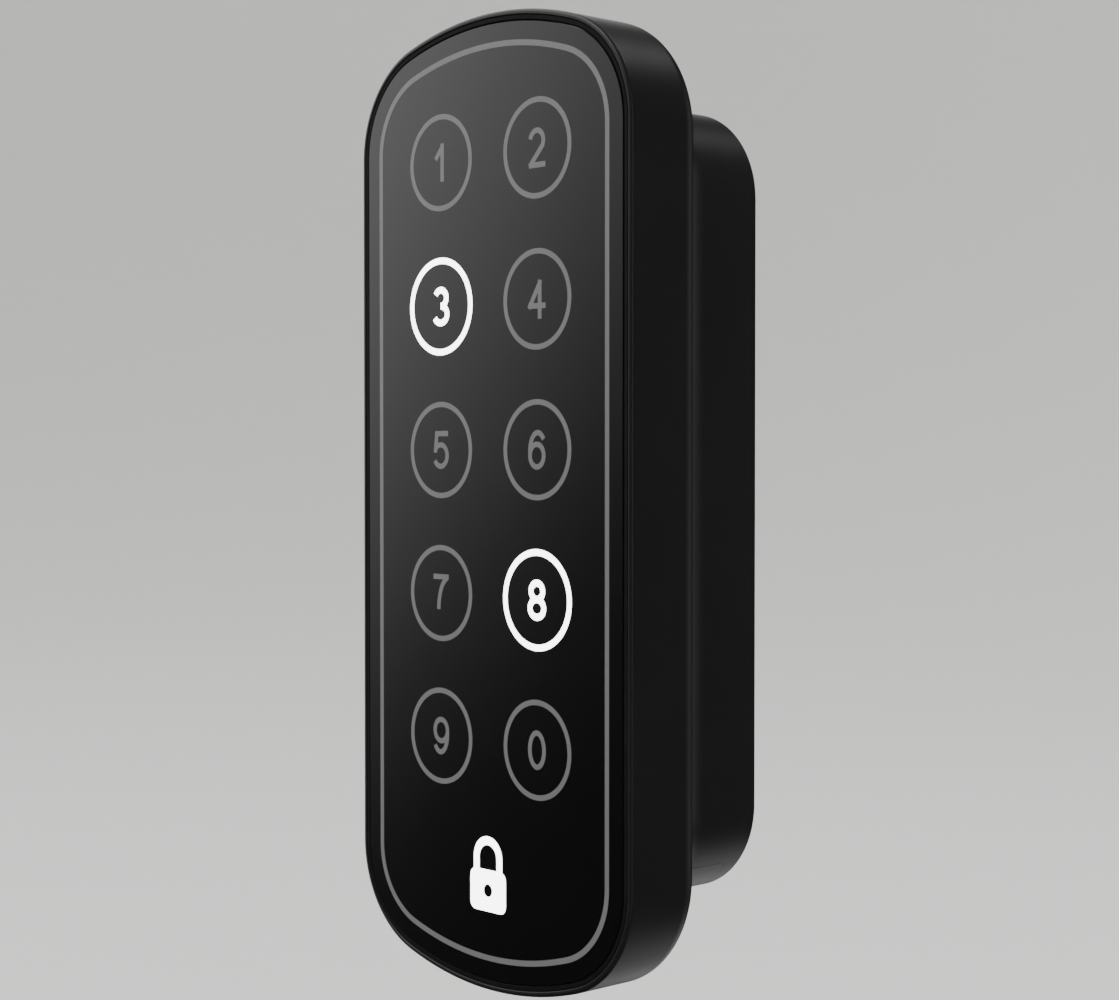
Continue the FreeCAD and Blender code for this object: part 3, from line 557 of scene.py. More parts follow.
GRAIN_GROUPS = {
    Grain.MOULDED: grain_group(
        "moulded_grain",
        Texture("TexNoise", {"Detail_": 2.0, "Roughness_": 0.6}),
        Texture("TexNoise", {"Scale_": 55.0, "Detail_": 3.0}),
        Texture("TexVoronoi", {"Scale_": 900.0}),
        {"From_Min_": 0.05, "From_Max_": 0.12, "To_Min_": 1.0, "To_Max_": 0.0},
    ),
    Grain.BRUSHED: grain_group(
        "brushed_grain",
        Texture("TexNoise", {"Detail_": 3.0, "Roughness_": 0.7}),
        Texture("TexNoise", {"Scale_": 90.0, "Detail_": 4.0}),
        Texture("TexNoise", {"Scale_": 1500.0, "Detail_": 1.0}),
        {"From_Min_": 0.66, "From_Max_": 0.74},
        stretch=0.03,
    ),
    Grain.CAST: grain_group(
        "cast_grain",
        Texture("TexVoronoi", {"feature": "SMOOTH_F1"}),
        Texture("TexNoise", {"Scale_": 70.0, "Detail_": 5.0, "Roughness_": 0.6}),
        Texture("TexNoise", {"Scale_": 2200.0, "Detail_": 0.0}),
        {"From_Min_": 0.68, "From_Max_": 0.78},
    ),
}
EDGE_WEAR = edge_wear()


@dataclass(frozen=True)
class Finish:
    """A finish of one material: its colour, its gloss and how both change over the surface."""

    name: str
    colour: Colour
    roughness: float
    grain: Grain = Grain.MOULDED
    scale: float = 9000.0
    depth: float = 0.004 * MM
    metallic: float = 0.0
    specular: float = 0.5
    coat: float = 0.0
    coat_roughness: float = 0.1
    cloudy: float = 0.15
    uneven: float = 0.05
    worn: float = 0.0
    speck: Colour | None = None

    def start(self) -> tuple[bpy.types.Material, Tree, Node, Node]:
        """The material, its tree, its shader and its grain group, wired for roughness and relief."""
        material = bpy.data.materials.new(self.name)
        material.use_nodes = True
        tree = Tree(material.node_tree)
        shader = material.node_tree.nodes["Principled BSDF"]
        shader.inputs["Metallic"].default_value = self.metallic
        shader.inputs["Specular IOR Level"].default_value = self.specular
        shader.inputs["Coat Weight"].default_value = self.coat
        shader.inputs["Coat Roughness"].default_value = self.coat_roughness
        grain = tree.add("Group", node_tree=GRAIN_GROUPS[self.grain])
        grain.inputs["Scale"].default_value = self.scale
        low, high = self.roughness - self.uneven, self.roughness + self.uneven
        gloss = tree.span(grain.outputs["Cloud"], low, high)
        tree.wire(gloss, shader.inputs["Roughness"])
        relief = tree.add("Bump", Strength_=1.0, Distance_=self.depth)
        tree.wire(grain.outputs["Grain"], relief.inputs["Height"])
        tree.wire(relief.outputs["Normal"], shader.inputs["Normal"])
        return material, tree, shader, grain

    def material(self) -> bpy.types.Material:
        """The finished material."""
        material, tree, shader, grain = self.start()
        deep = tuple(channel * (1 - self.cloudy) for channel in self.colour)
        pale = tuple(min(1.0, channel * (1 + self.cloudy)) for channel in self.colour)
        colour = tree.blend(grain.outputs["Cloud"], deep, pale)
        if self.speck:
            colour = tree.blend(grain.outputs["Speck"], colour, self.speck)
        if self.worn:
            wear = tree.add("Group", node_tree=EDGE_WEAR)
            bare = tuple(min(1.0, channel + self.worn) for channel in self.colour)
            colour = tree.blend(wear.outputs["Worn"], colour, bare)
        tree.wire(colour, shader.inputs["Base Color"])
        return material


@dataclass(frozen=True)
class Lamp(Finish):
    """A finish that is lit from behind, a little unevenly."""

    glow: float = 1.0

    def material(self) -> bpy.types.Material:
        """The finished material."""
        made = super().material()
        tree = Tree(made.node_tree)
        shader = made.node_tree.nodes["Principled BSDF"]
        grain = next(node for node in made.node_tree.nodes if node.type == "GROUP")
        dim = tuple(0.94 * channel for channel in self.colour)
        light = tree.blend(grain.outputs["Cloud"], dim, self.colour)
        tree.wire(light, shader.inputs["Emission Color"])
        shader.inputs["Emission Strength"].default_value = self.glow
        return made


@dataclass(frozen=True)
class Circuit(Finish):
    """Solder mask over copper tracks."""

    track: Colour = (0.05, 0.16, 0.07)
    pitch: float = 1.6 * MM

    def material(self) -> bpy.types.Material:
        """The finished material."""
        material, tree, shader, grain = self.start()
        place = tree.add("TexCoord").outputs["Object"]
        turned = tree.add("Mapping", Rotation_=(math.radians(90), 0, 0))
        tracks = tree.add("TexBrick", offset=0.5, Scale_=1.0, Mortar_Smooth_=0.0)
        tracks.inputs["Brick Width"].default_value = 4 * self.pitch
        tracks.inputs["Row Height"].default_value = self.pitch
        tracks.inputs["Mortar Size"].default_value = 0.12 * self.pitch
        tree.wire(place, turned.inputs["Vector"])
        tree.wire(turned.outputs["Vector"], tracks.inputs["Vector"])
        colour = tree.blend(tracks.outputs["Fac"], self.colour, self.track)
        tree.wire(colour, shader.inputs["Base Color"])
        return material


@dataclass(frozen=True)
class Wrap(Finish):
    """Printed wrap of a cell: a coloured band towards its positive end."""

    band: Colour = (0.55, 0.2, 0.03)
    edge: float = 0.0
    upwards: bool = True

    def material(self) -> bpy.types.Material:
        """The finished material."""
        material, tree, shader, grain = self.start()
        level = tree.add("SeparateXYZ")
        tree.wire(tree.add("TexCoord").outputs["Object"], level.inputs["Vector"])
        blur = 0.05 * MM if self.upwards else -0.05 * MM
        mask = tree.add("MapRange", From_Min_=self.edge - blur, From_Max_=self.edge + blur)
        tree.wire(level.outputs["Z"], mask.inputs["Value"])
        colour = tree.blend(mask.outputs["Result"], self.colour, self.band)
        tree.wire(colour, shader.inputs["Base Color"])
        return material


HOUSING_BLACK = Finish("housing_black", (0.0075, 0.0075, 0.008), 0.42, depth=0.0035 * MM, specular=0.28)
BEZEL_BLACK = Finish("bezel_black", (0.004, 0.004, 0.004), 0.5, depth=0.002 * MM, specular=0.05, worn=0.004)
TRAY_BLACK = Finish("tray_black", (0.0075, 0.0075, 0.008), 0.42, depth=0.0035 * MM, specular=0.28)
GLASS_BLACK = Finish(
    "cover_glass", (0.0018, 0.0018, 0.002), 0.16, scale=60.0, depth=0.0, uneven=0.015, cloudy=0.05
)
PRINT_GREY = Lamp("print_grey", (0.1, 0.1, 0.1), 0.3, depth=0.0, cloudy=0.03, glow=0.25)
PRINT_LIT = Lamp("print_lit", (1.0, 1.0, 1.0), 0.3, depth=0.0, cloudy=0.0, glow=6.0)
PLATE_ZINC = Finish(
    "plate_zinc", (0.42, 0.43, 0.44), 0.4, Grain.CAST, 2200.0, 0.006 * MM, metallic=1.0,
    speck=(0.25, 0.25, 0.25),
)
CAM_STEEL = Finish(
    "cam_steel", (0.55, 0.55, 0.53), 0.3, Grain.BRUSHED, 9000.0, 0.003 * MM, metallic=1.0, worn=0.3,
    speck=(0.3, 0.29, 0.27),
)
SCREW_STEEL = Finish(
    "screw_steel", (0.5, 0.5, 0.5), 0.26, Grain.CAST, 6000.0, 0.002 * MM, metallic=1.0, worn=0.3
)
GEAR_STEEL = Finish("gear_steel", (0.38, 0.38, 0.39), 0.34, Grain.CAST, 5000.0, 0.003 * MM, metallic=1.0)
CAN_STEEL = Finish("can_steel", (0.6, 0.6, 0.6), 0.24, Grain.BRUSHED, 7000.0, 0.002 * MM, metallic=1.0)
INSERT_BRASS = Finish(
    "insert_brass", (0.72, 0.52, 0.22), 0.28, Grain.CAST, 5000.0, 0.002 * MM, metallic=1.0
)
CONTACT_NICKEL = Finish(
    "contact_nickel", (0.66, 0.62, 0.55), 0.22, Grain.BRUSHED, 8000.0, 0.001 * MM, metallic=1.0
)
GASKET_RUBBER = Finish("gasket_rubber", (0.012, 0.012, 0.012), 0.75, depth=0.01 * MM, scale=5000.0)
ADHESIVE_TAPE = Finish("adhesive_tape", (0.02, 0.02, 0.02), 0.6, depth=0.006 * MM)
LAMP_WHITE = Lamp("lamp_white", (0.9, 0.88, 0.8), 0.35, glow=0.4)
LIGHT_GUIDE = Finish("light_guide", (0.7, 0.72, 0.72), 0.2, depth=0.001 * MM, coat=0.5)
BOARD_BLACK = Circuit(
    "board_black", (0.008, 0.009, 0.01), 0.4, depth=0.004 * MM, track=(0.02, 0.022, 0.024)
)
BOARD_GREEN = Circuit("board_green", (0.01, 0.07, 0.03), 0.35, depth=0.004 * MM)
CHIP_BLACK = Finish("chip_black", (0.016, 0.016, 0.017), 0.55, depth=0.006 * MM, speck=(0.05, 0.05, 0.05))
CARRIER_PLASTIC = Finish("carrier_plastic", (0.045, 0.047, 0.05), 0.5, depth=0.006 * MM)
GEAR_ACETAL = Finish("gear_acetal", (0.62, 0.6, 0.53), 0.42, depth=0.004 * MM, cloudy=0.06)
FLOOR_PAPER = Lamp(
    "floor_paper", (0.75, 0.75, 0.74), 0.9, scale=900.0, depth=0.05 * MM,
    specular=0.1, cloudy=0.01, glow=0.3,
)

CARRIED_OVER = {
    "glass_adhesive": ADHESIVE_TAPE,
    "key_lamps": LAMP_WHITE,
    "light_guide": LIGHT_GUIDE,
    "keypad_board": BOARD_BLACK,
    "main_board": BOARD_GREEN,
    "board_link": CHIP_BLACK,
    "main_board_chips": CHIP_BLACK,
    "radio_module": CAN_STEEL,
    "buzzer": CHIP_BLACK,
    "board_screws": SCREW_STEEL,
    "rear_gasket": GASKET_RUBBER,
    "gear_carrier": CARRIER_PLASTIC,
    "carrier_screws": SCREW_STEEL,
    "cassette_screws": SCREW_STEEL,
    "motor_can": CAN_STEEL,
    "motor_shaft": SCREW_STEEL,
    "motor_pinion": INSERT_BRASS,
    "first_gear": GEAR_ACETAL,
    "second_gear": GEAR_ACETAL,
    "output_gear": GEAR_STEEL,
    "first_axle": SCREW_STEEL,
    "second_axle": SCREW_STEEL,
    "spindle": GEAR_STEEL,
    "spindle_seal": GASKET_RUBBER,
    "position_magnet": CAN_STEEL,
    "hall_sensor": CHIP_BLACK,
    "tray_seal": GASKET_RUBBER,
    "cell_link": CONTACT_NICKEL,
    "contact_board": BOARD_GREEN,
    "contact_springs": CONTACT_NICKEL,
}


class Wardrobe:
    """Makes each finish's material once and puts it on pieces."""

    def __init__(self) -> None:
        """Starts with nothing made."""
        self.made: dict[str, bpy.types.Material] = {}

    def material(self, finish: Finish) -> bpy.types.Material:
        """The material of a finish."""
        if finish.name not in self.made:
            self.made[finish.name] = finish.material()
        return self.made[finish.name]

    def dress(self, piece: Piece, finish: Finish) -> None:
        """Puts one finish all over a piece.

        Args:
            piece: The piece.
            finish: The finish.
        """
        if not piece.material_slots:
            piece.data.materials.append(None)
        for place in piece.material_slots:
            place.material = self.material(finish)


WARDROBE = Wardrobe()


def settle(piece: Piece, body: str, slot: str, finish: Finish, *nodes: str) -> None:
    """Dresses a finished piece, rides it on its body and hides the CAD nodes that it replaces.

    Args:
        piece: The finished piece.
        body: The body that it moves with.
        slot: Not used.
        finish: Its finish.
        nodes: The nodes that it replaces.
    """
    WARDROBE.dress(piece, finish)
    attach(piece, body)
    if nodes:
        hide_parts(*nodes)
    log.info("%s: %d faces, on %s", piece.name, len(piece.data.polygons), body)


# ---------------------------------------------------------------- case


@dataclass
class Case:
    """Housing of head and neck, with the bezel, the back plate and its fittings."""

    head: Outline = Outline(27.25 * MM, 65.0 * MM, 55.5 * MM, 15.0 * MM)
    neck: Outline = Outline(18.5 * MM, 55.0 * MM, 35.0 * MM, 13.0 * MM)
    front: float = 32.5 * MM
    rim: float = 30.6 * MM
    rim_width: float = 0.75 * MM
    rim_edge: float = 0.5 * MM
    flank_top: float = 21.4 * MM
    flank_foot: float = 14.5 * MM
    shoulder: float = 3.0 * MM
    cove: float = 7.5 * MM
    head_floor: float = 23.0 * MM
    head_wall: float = 3.2 * MM
    edge: float = 0.2 * MM
    recess_inset: float = 1.2 * MM
    recess_depth: float = 2.4 * MM
    bezel_outer: float = 0.8 * MM
    bezel_inner: float = 1.45 * MM
    fine_edge: float = 0.08 * MM
    plate_inset: float = 1.3 * MM
    plate_thick: float = 2.0 * MM
    plate_chamfer: float = 0.3 * MM
    sunk: float = 1.0 * MM
    post_edge: float = 0.25 * MM
    spindle_z: float = 19.0 * MM
    spigot_radius: float = 8.0 * MM
    spigot_length: float = 4.0 * MM
    spigot_edge: float = 0.5 * MM
    spindle_boss: tuple[float, float] = (7.0 * MM, 4.3 * MM)
    insert_boss: tuple[float, float] = (3.8 * MM, 5.6 * MM)
    screw_post: tuple[float, float] = (2.25 * MM, 13.0 * MM)
    screw_places: tuple[tuple[float, float], ...] = ((11.5 * MM, 46.5 * MM), (13.2 * MM, 8.6 * MM))
    bore_radius: float = 4.05 * MM
    insert_x: float = 10.5 * MM
    insert_z: float = 45.5 * MM
    insert_radius: float = 2.8 * MM
    thread_radius: float = 1.65 * MM
    thread_depth: float = 0.35 * MM
    thread_pitch: float = 0.7 * MM
    insert_length: float = 5.0 * MM
    pin_dome: float = 0.35 * MM
    pin_flat: float = 0.45
    bay_half_width: float = 16.2 * MM
    bay_foot: float = -47.3 * MM
    bay_top: float = 4.9 * MM
    bay_roof: float = 18.6 * MM
    mouth_half_width: float = 15.66 * MM
    mouth_low: float = 2.54 * MM
    mouth_high: float = 18.26 * MM
    mouth_foot: float = -62.0 * MM
    mouth_corner: float = 1.2 * MM
    gear_sill: float = 6.0 * MM
    gear_roof: float = 19.8 * MM
    neck_wall: float = 2.0 * MM

    def skin(self) -> list[Ring]:
        """Rings of the outer surface, from the rounded front edge down to the neck."""
        edge = quarter_round(self.rim_edge, 8)
        return [self.head.grown(-inset).at(self.front - drop) for drop, inset in edge] + self.flank()

    def flank(self) -> list[Ring]:
        """Rings down the slanted flank, with a round shoulder at the head and a hollow foot at the neck."""
        drop = self.flank_top - self.flank_foot
        lines = []
        for head, neck in zip(self.head.at(0.0), self.neck.at(0.0)):
            way = (neck - head).normalized()
            slant = math.atan((neck - head).length / drop)
            top = self.flank_top + self.shoulder * math.tan(slant / 2)
            foot = self.flank_foot - self.cove * math.tan(slant / 2)
            line = []
            for turn in spread(0.0, slant, 12):
                height = top - self.shoulder * math.sin(turn)
                line.append(head + way * self.shoulder * (1 - math.cos(turn)) - Vector((0, height, 0)))
            for turn in spread(slant, 0.0, 16):
                height = foot + self.cove * math.sin(turn)
                line.append(neck - way * self.cove * (1 - math.cos(turn)) - Vector((0, height, 0)))
            lines.append(line)
        return [list(ring) for ring in zip(*lines)]

    def solid(self, name: str) -> Piece:
        """The case's outer shape with nothing taken out, as a closed solid."""
        return loft(name, [*self.skin(), self.neck.at(self.edge), self.neck.grown(-self.edge).at(0.0)])

    def mouth(self, gap: float = 0.0) -> Piece:
        """Block with the shape of the tray's mouth, smaller by a gap all round.

        Args:
            gap: The gap.

        Returns:
            The block.
        """
        low = Vector((-self.mouth_half_width + gap, -self.mouth_high + gap, self.mouth_foot))
        high = Vector((self.mouth_half_width - gap, -self.mouth_low - gap, self.bay_foot + 0.2 * MM - gap))
        return block("mouth", low, high, self.mouth_corner - gap, along=2)

    def gear_room(self) -> Piece:
        """Room for the gears: the neck's inside above a sill."""
        inside = self.neck.grown(-self.neck_wall)
        room = loft("gear_room", [inside.at(self.recess_depth - self.edge), inside.at(self.gear_roof)])
        past = 0.1
        low = Vector((-past, -past, -past))
        return combine(room, block("below_sill", low, Vector((past, past, self.gear_sill))), "DIFFERENCE")

    def housing(self) -> Piece:
        """The housing: the outer skin, the open head, the gear room, the battery bay and its mouth."""
        inner = self.head.grown(-self.head_wall)
        seat = self.head.grown(-self.rim_width)
        front = [inner.at(self.head_floor), inner.at(self.rim), seat.at(self.rim)]
        front += [seat.at(self.front - self.fine_edge), seat.grown(self.fine_edge).at(self.front)]
        recess = self.neck.grown(-self.recess_inset)
        back = [self.neck.at(self.edge), self.neck.grown(-self.edge).at(0.0), recess.at(0.0)]
        piece = loft("housing_shell", [*front, *self.skin(), *back, recess.at(self.recess_depth)])
        low = Vector((-self.bay_half_width, -self.bay_roof, self.bay_foot))
        high = Vector((self.bay_half_width, -self.recess_depth + self.edge, self.bay_top))
        combine(piece, block("bay", low, high, 0.8 * MM, along=1), "DIFFERENCE")
        combine(piece, self.mouth(), "DIFFERENCE")
        combine(piece, self.gear_room(), "DIFFERENCE")
        return smoothed(piece)

    def bezel(self) -> Piece:
        """Thin frame between the housing's rim and the glass."""
        low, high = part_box("bezel_ring")
        outer, inner = self.head.grown(-self.bezel_outer), self.head.grown(-self.bezel_inner)
        foot, top, edge = -high.y, -low.y, self.fine_edge
        rings = [outer.at(foot), outer.at(top - edge), outer.grown(-edge).at(top)]
        rings += [inner.grown(edge).at(top), inner.at(top - edge), inner.at(foot)]
        return smoothed(loft("bezel_frame", rings, loop=True))

    def back_plate(self) -> Piece:
        """Back plate with its spigot, the spindle's bore, the bosses and the posts behind it."""
        plate = self.neck.grown(-self.plate_inset)
        chamfer = self.plate_chamfer
        rings = [plate.at(self.plate_thick), plate.at(chamfer), plate.grown(-chamfer).at(0.0)]
        piece = loft("mounting_plate", rings)
        spigot = [circle(self.spigot_radius, self.sunk, z=self.spindle_z)]
        for inset, drop in quarter_round(self.spigot_edge, 5):
            spigot.append(circle(self.spigot_radius - inset, drop - self.spigot_length, z=self.spindle_z))
        combine(piece, loft("spigot", spigot), "UNION")
        combine(piece, self.post(*self.spindle_boss, 0.0, self.spindle_z), "UNION")
        posts = [(*self.insert_boss, self.insert_x, self.insert_z)]
        posts += [(*self.screw_post, x, z) for x, z in self.screw_places]
        for radius, top, x, z in posts:
            self.at_both_sides(piece, self.post(radius, top, x, z), x, "UNION")
        combine(piece, self.bore(self.bore_radius, -5 * MM, 5 * MM, 0.0, self.spindle_z), "DIFFERENCE")
        hole = self.bore(self.insert_radius, -1 * MM, self.insert_length, self.insert_x, self.insert_z)
        sink = [
            circle(self.insert_radius + 0.55 * MM, -0.25 * MM, self.insert_x, self.insert_z),
            circle(self.insert_radius - 0.05 * MM, 0.35 * MM, self.insert_x, self.insert_z),
        ]
        for tool in (hole, loft("sink", sink)):
            self.at_both_sides(piece, tool, self.insert_x, "DIFFERENCE")
        return smoothed(piece)

    def at_both_sides(self, piece: Piece, tool: Piece, x: float, operation: str) -> None:
        """Works on a piece with a tool at the right and with its copy at the left."""
        combine(piece, moved(copied(tool, "left"), -2 * x), operation)
        combine(piece, tool, operation)

    def post(self, radius: float, top: float, x: float, z: float) -> Piece:
        """Round post that stands on the plate."""
        profile = [(radius, self.sunk), (radius, top - self.post_edge), (radius - self.post_edge, top)]
        return loft("post", [circle(reach, height, x, z) for reach, height in profile])

    def bore(self, radius: float, low: float, high: float, x: float, z: float) -> Piece:
        """Round cutter between two heights."""
        return loft("bore", [circle(radius, low, x, z), circle(radius, high, x, z)])

    def inserts(self) -> list[Piece]:
        """Threaded inserts in the plate: one with its thread cut as rings, and its twin."""
        edge = 0.2 * MM
        face = 0.1 * MM
        profile = [(self.insert_radius, self.insert_length), (self.insert_radius, face + edge)]
        profile += [(self.insert_radius - edge, face), (self.thread_radius + 0.5 * MM, face)]
        height = 0.5 * MM
        while height + self.thread_pitch < self.insert_length:
            profile.append((self.thread_radius, height))
            profile.append((self.thread_radius + self.thread_depth, height + self.thread_pitch / 2))
            height += self.thread_pitch
        profile.append((self.thread_radius, self.insert_length))
        rings = [circle(radius, level, self.insert_x, self.insert_z) for radius, level in profile]
        right = smoothed(loft("insert_right", rings, loop=True), 20.0)
        return [right, moved(copied(right, "insert_left"), -2 * self.insert_x)]

    def supply_pins(self) -> list[Piece]:
        """Contact pins in the foot of the head, for an emergency supply, with domed ends."""
        low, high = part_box("power_contacts")
        radius = (high.y - low.y) / 2
        x, height = high.x - radius, -(low.y + radius)
        rings = [upright_circle(radius, high.z, x, height)]
        for turn in quarter_turn(6):
            level = low.z + self.pin_dome * (1 - math.cos(turn))
            reach = radius * (self.pin_flat + (1 - self.pin_flat) * math.cos(turn))
            rings.append(upright_circle(reach, level, x, height))
        right = smoothed(loft("supply_pin_right", rings), 30.0)
        return [right, moved(copied(right, "supply_pin_left"), -2 * x)]

    def build(self) -> None:
        """Builds and settles every piece of the case."""
        settle(self.housing(), "lock_case", "housing_black", HOUSING_BLACK, "housing")
        settle(self.bezel(), "lock_case", "bezel_black", BEZEL_BLACK, "bezel_ring")
        settle(self.back_plate(), "lock_case", "plate_zinc", PLATE_ZINC, "back_plate")
        for piece in self.inserts():
            settle(piece, "lock_case", "insert_brass", INSERT_BRASS, "threaded_inserts")
        for piece in self.supply_pins():
            settle(piece, "lock_case", "insert_brass", INSERT_BRASS, "power_contacts")


# ---------------------------------------------------------------- glass and its print


@dataclass(frozen=True)
class Line:
    """Straight stroke of a digit, between two points in shares of the digit's width and height."""

    start: tuple[float, float]
    end: tuple[float, float]

    def path(self, width: float, height: float, stroke: float) -> Path:
        """Points along the stroke's middle, run out by half a stroke at both ends.

        Args:
            width: Width of the digit.
            height: Height of the digit.
            stroke: Width of the stroke.

        Returns:
            The points.
        """
        x0, z0 = self.start[0] * width, self.start[1] * height
        x1, z1 = self.end[0] * width, self.end[1] * height
        long = math.hypot(x1 - x0, z1 - z0)
        ux, uz = (x1 - x0) / long * stroke / 2, (z1 - z0) / long * stroke / 2
        return [(x0 - ux, z0 - uz), (x1 + ux, z1 + uz)]


@dataclass(frozen=True)
class Bow:
    """Elliptical stroke of a digit: its centre and radii in shares, and its angles from +X in degrees."""

    centre: tuple[float, float]
    radii: tuple[float, float]
    start: float = 0.0
    end: float = 360.0

    def path(self, width: float, height: float, stroke: float) -> Path:
        """Points along the stroke's middle.

        Args:
            width: Width of the digit.
            height: Height of the digit.
            stroke: Width of the stroke.

        Returns:
            The points.
        """
        steps = max(6, round(abs(self.end - self.start) / 9))
        points = []
        for angle in map(math.radians, spread(self.start, self.end, steps)):
            x = (self.centre[0] + self.radii[0] * math.cos(angle)) * width
            points.append((x, (self.centre[1] + self.radii[1] * math.sin(angle)) * height))
        return points


DIGITS = {
    "0": [Bow((0, 0), (0.5, 0.5))],
    "1": [Line((0.12, -0.5), (0.12, 0.5)), Line((0.1, 0.46), (-0.3, 0.17))],
    "2": [
        Bow((0, 0.2), (0.46, 0.3), 168, -38),
        Line((0.36, 0.02), (-0.42, -0.47)),
        Line((-0.42, -0.5), (0.47, -0.5)),
    ],
    "3": [Bow((0, 0.255), (0.43, 0.245), 155, -90), Bow((0, -0.245), (0.49, 0.255), 90, -157)],
    "4": [
        Line((0.2, 0.46), (-0.48, -0.2)),
        Line((-0.46, -0.2), (0.48, -0.2)),
        Line((0.2, 0.46), (0.2, -0.5)),
    ],
    "5": [
        Line((-0.32, 0.5), (0.42, 0.5)),
        Line((-0.32, 0.48), (-0.42, 0.0)),
        Bow((-0.02, -0.17), (0.5, 0.33), 140, -152),
    ],
    "6": [Bow((0, -0.17), (0.48, 0.33)), Bow((0.06, -0.05), (0.54, 0.55), 188, 40)],
    "7": [Line((-0.46, 0.5), (0.46, 0.5)), Bow((0.62, -0.5), (0.8, 0.98), 101, 180)],
    "8": [Bow((0, 0.26), (0.41, 0.24)), Bow((0, -0.24), (0.48, 0.26))],
    "9": [Bow((0, 0.17), (0.48, 0.33)), Bow((-0.06, 0.05), (0.54, 0.55), 8, -140)],
}


def ribbon(path: Path, stroke: float) -> tuple[list[Vector], list[Vector]]:
    """Both edges of a stroke that follows a path in the plane of the glass.

    Args:
        path: Points along the middle.
        stroke: Width of the stroke.

    Returns:
        The points of one edge, and those of the other.
    """
    sides: tuple[list[Vector], list[Vector]] = ([], [])
    for index, (x, z) in enumerate(path):
        before = path[max(0, index - 1)]
        after = path[min(len(path) - 1, index + 1)]
        if math.dist(path[0], path[-1]) < MERGE:
            before = path[index - 1] if index else path[-2]
            after = path[index + 1] if index < len(path) - 1 else path[1]
        run = Vector((after[0] - before[0], 0, after[1] - before[1])).normalized() * stroke / 2
        sides[0].append(Vector((x - run.z, 0, z + run.x)))
        sides[1].append(Vector((x + run.z, 0, z - run.x)))
    return sides


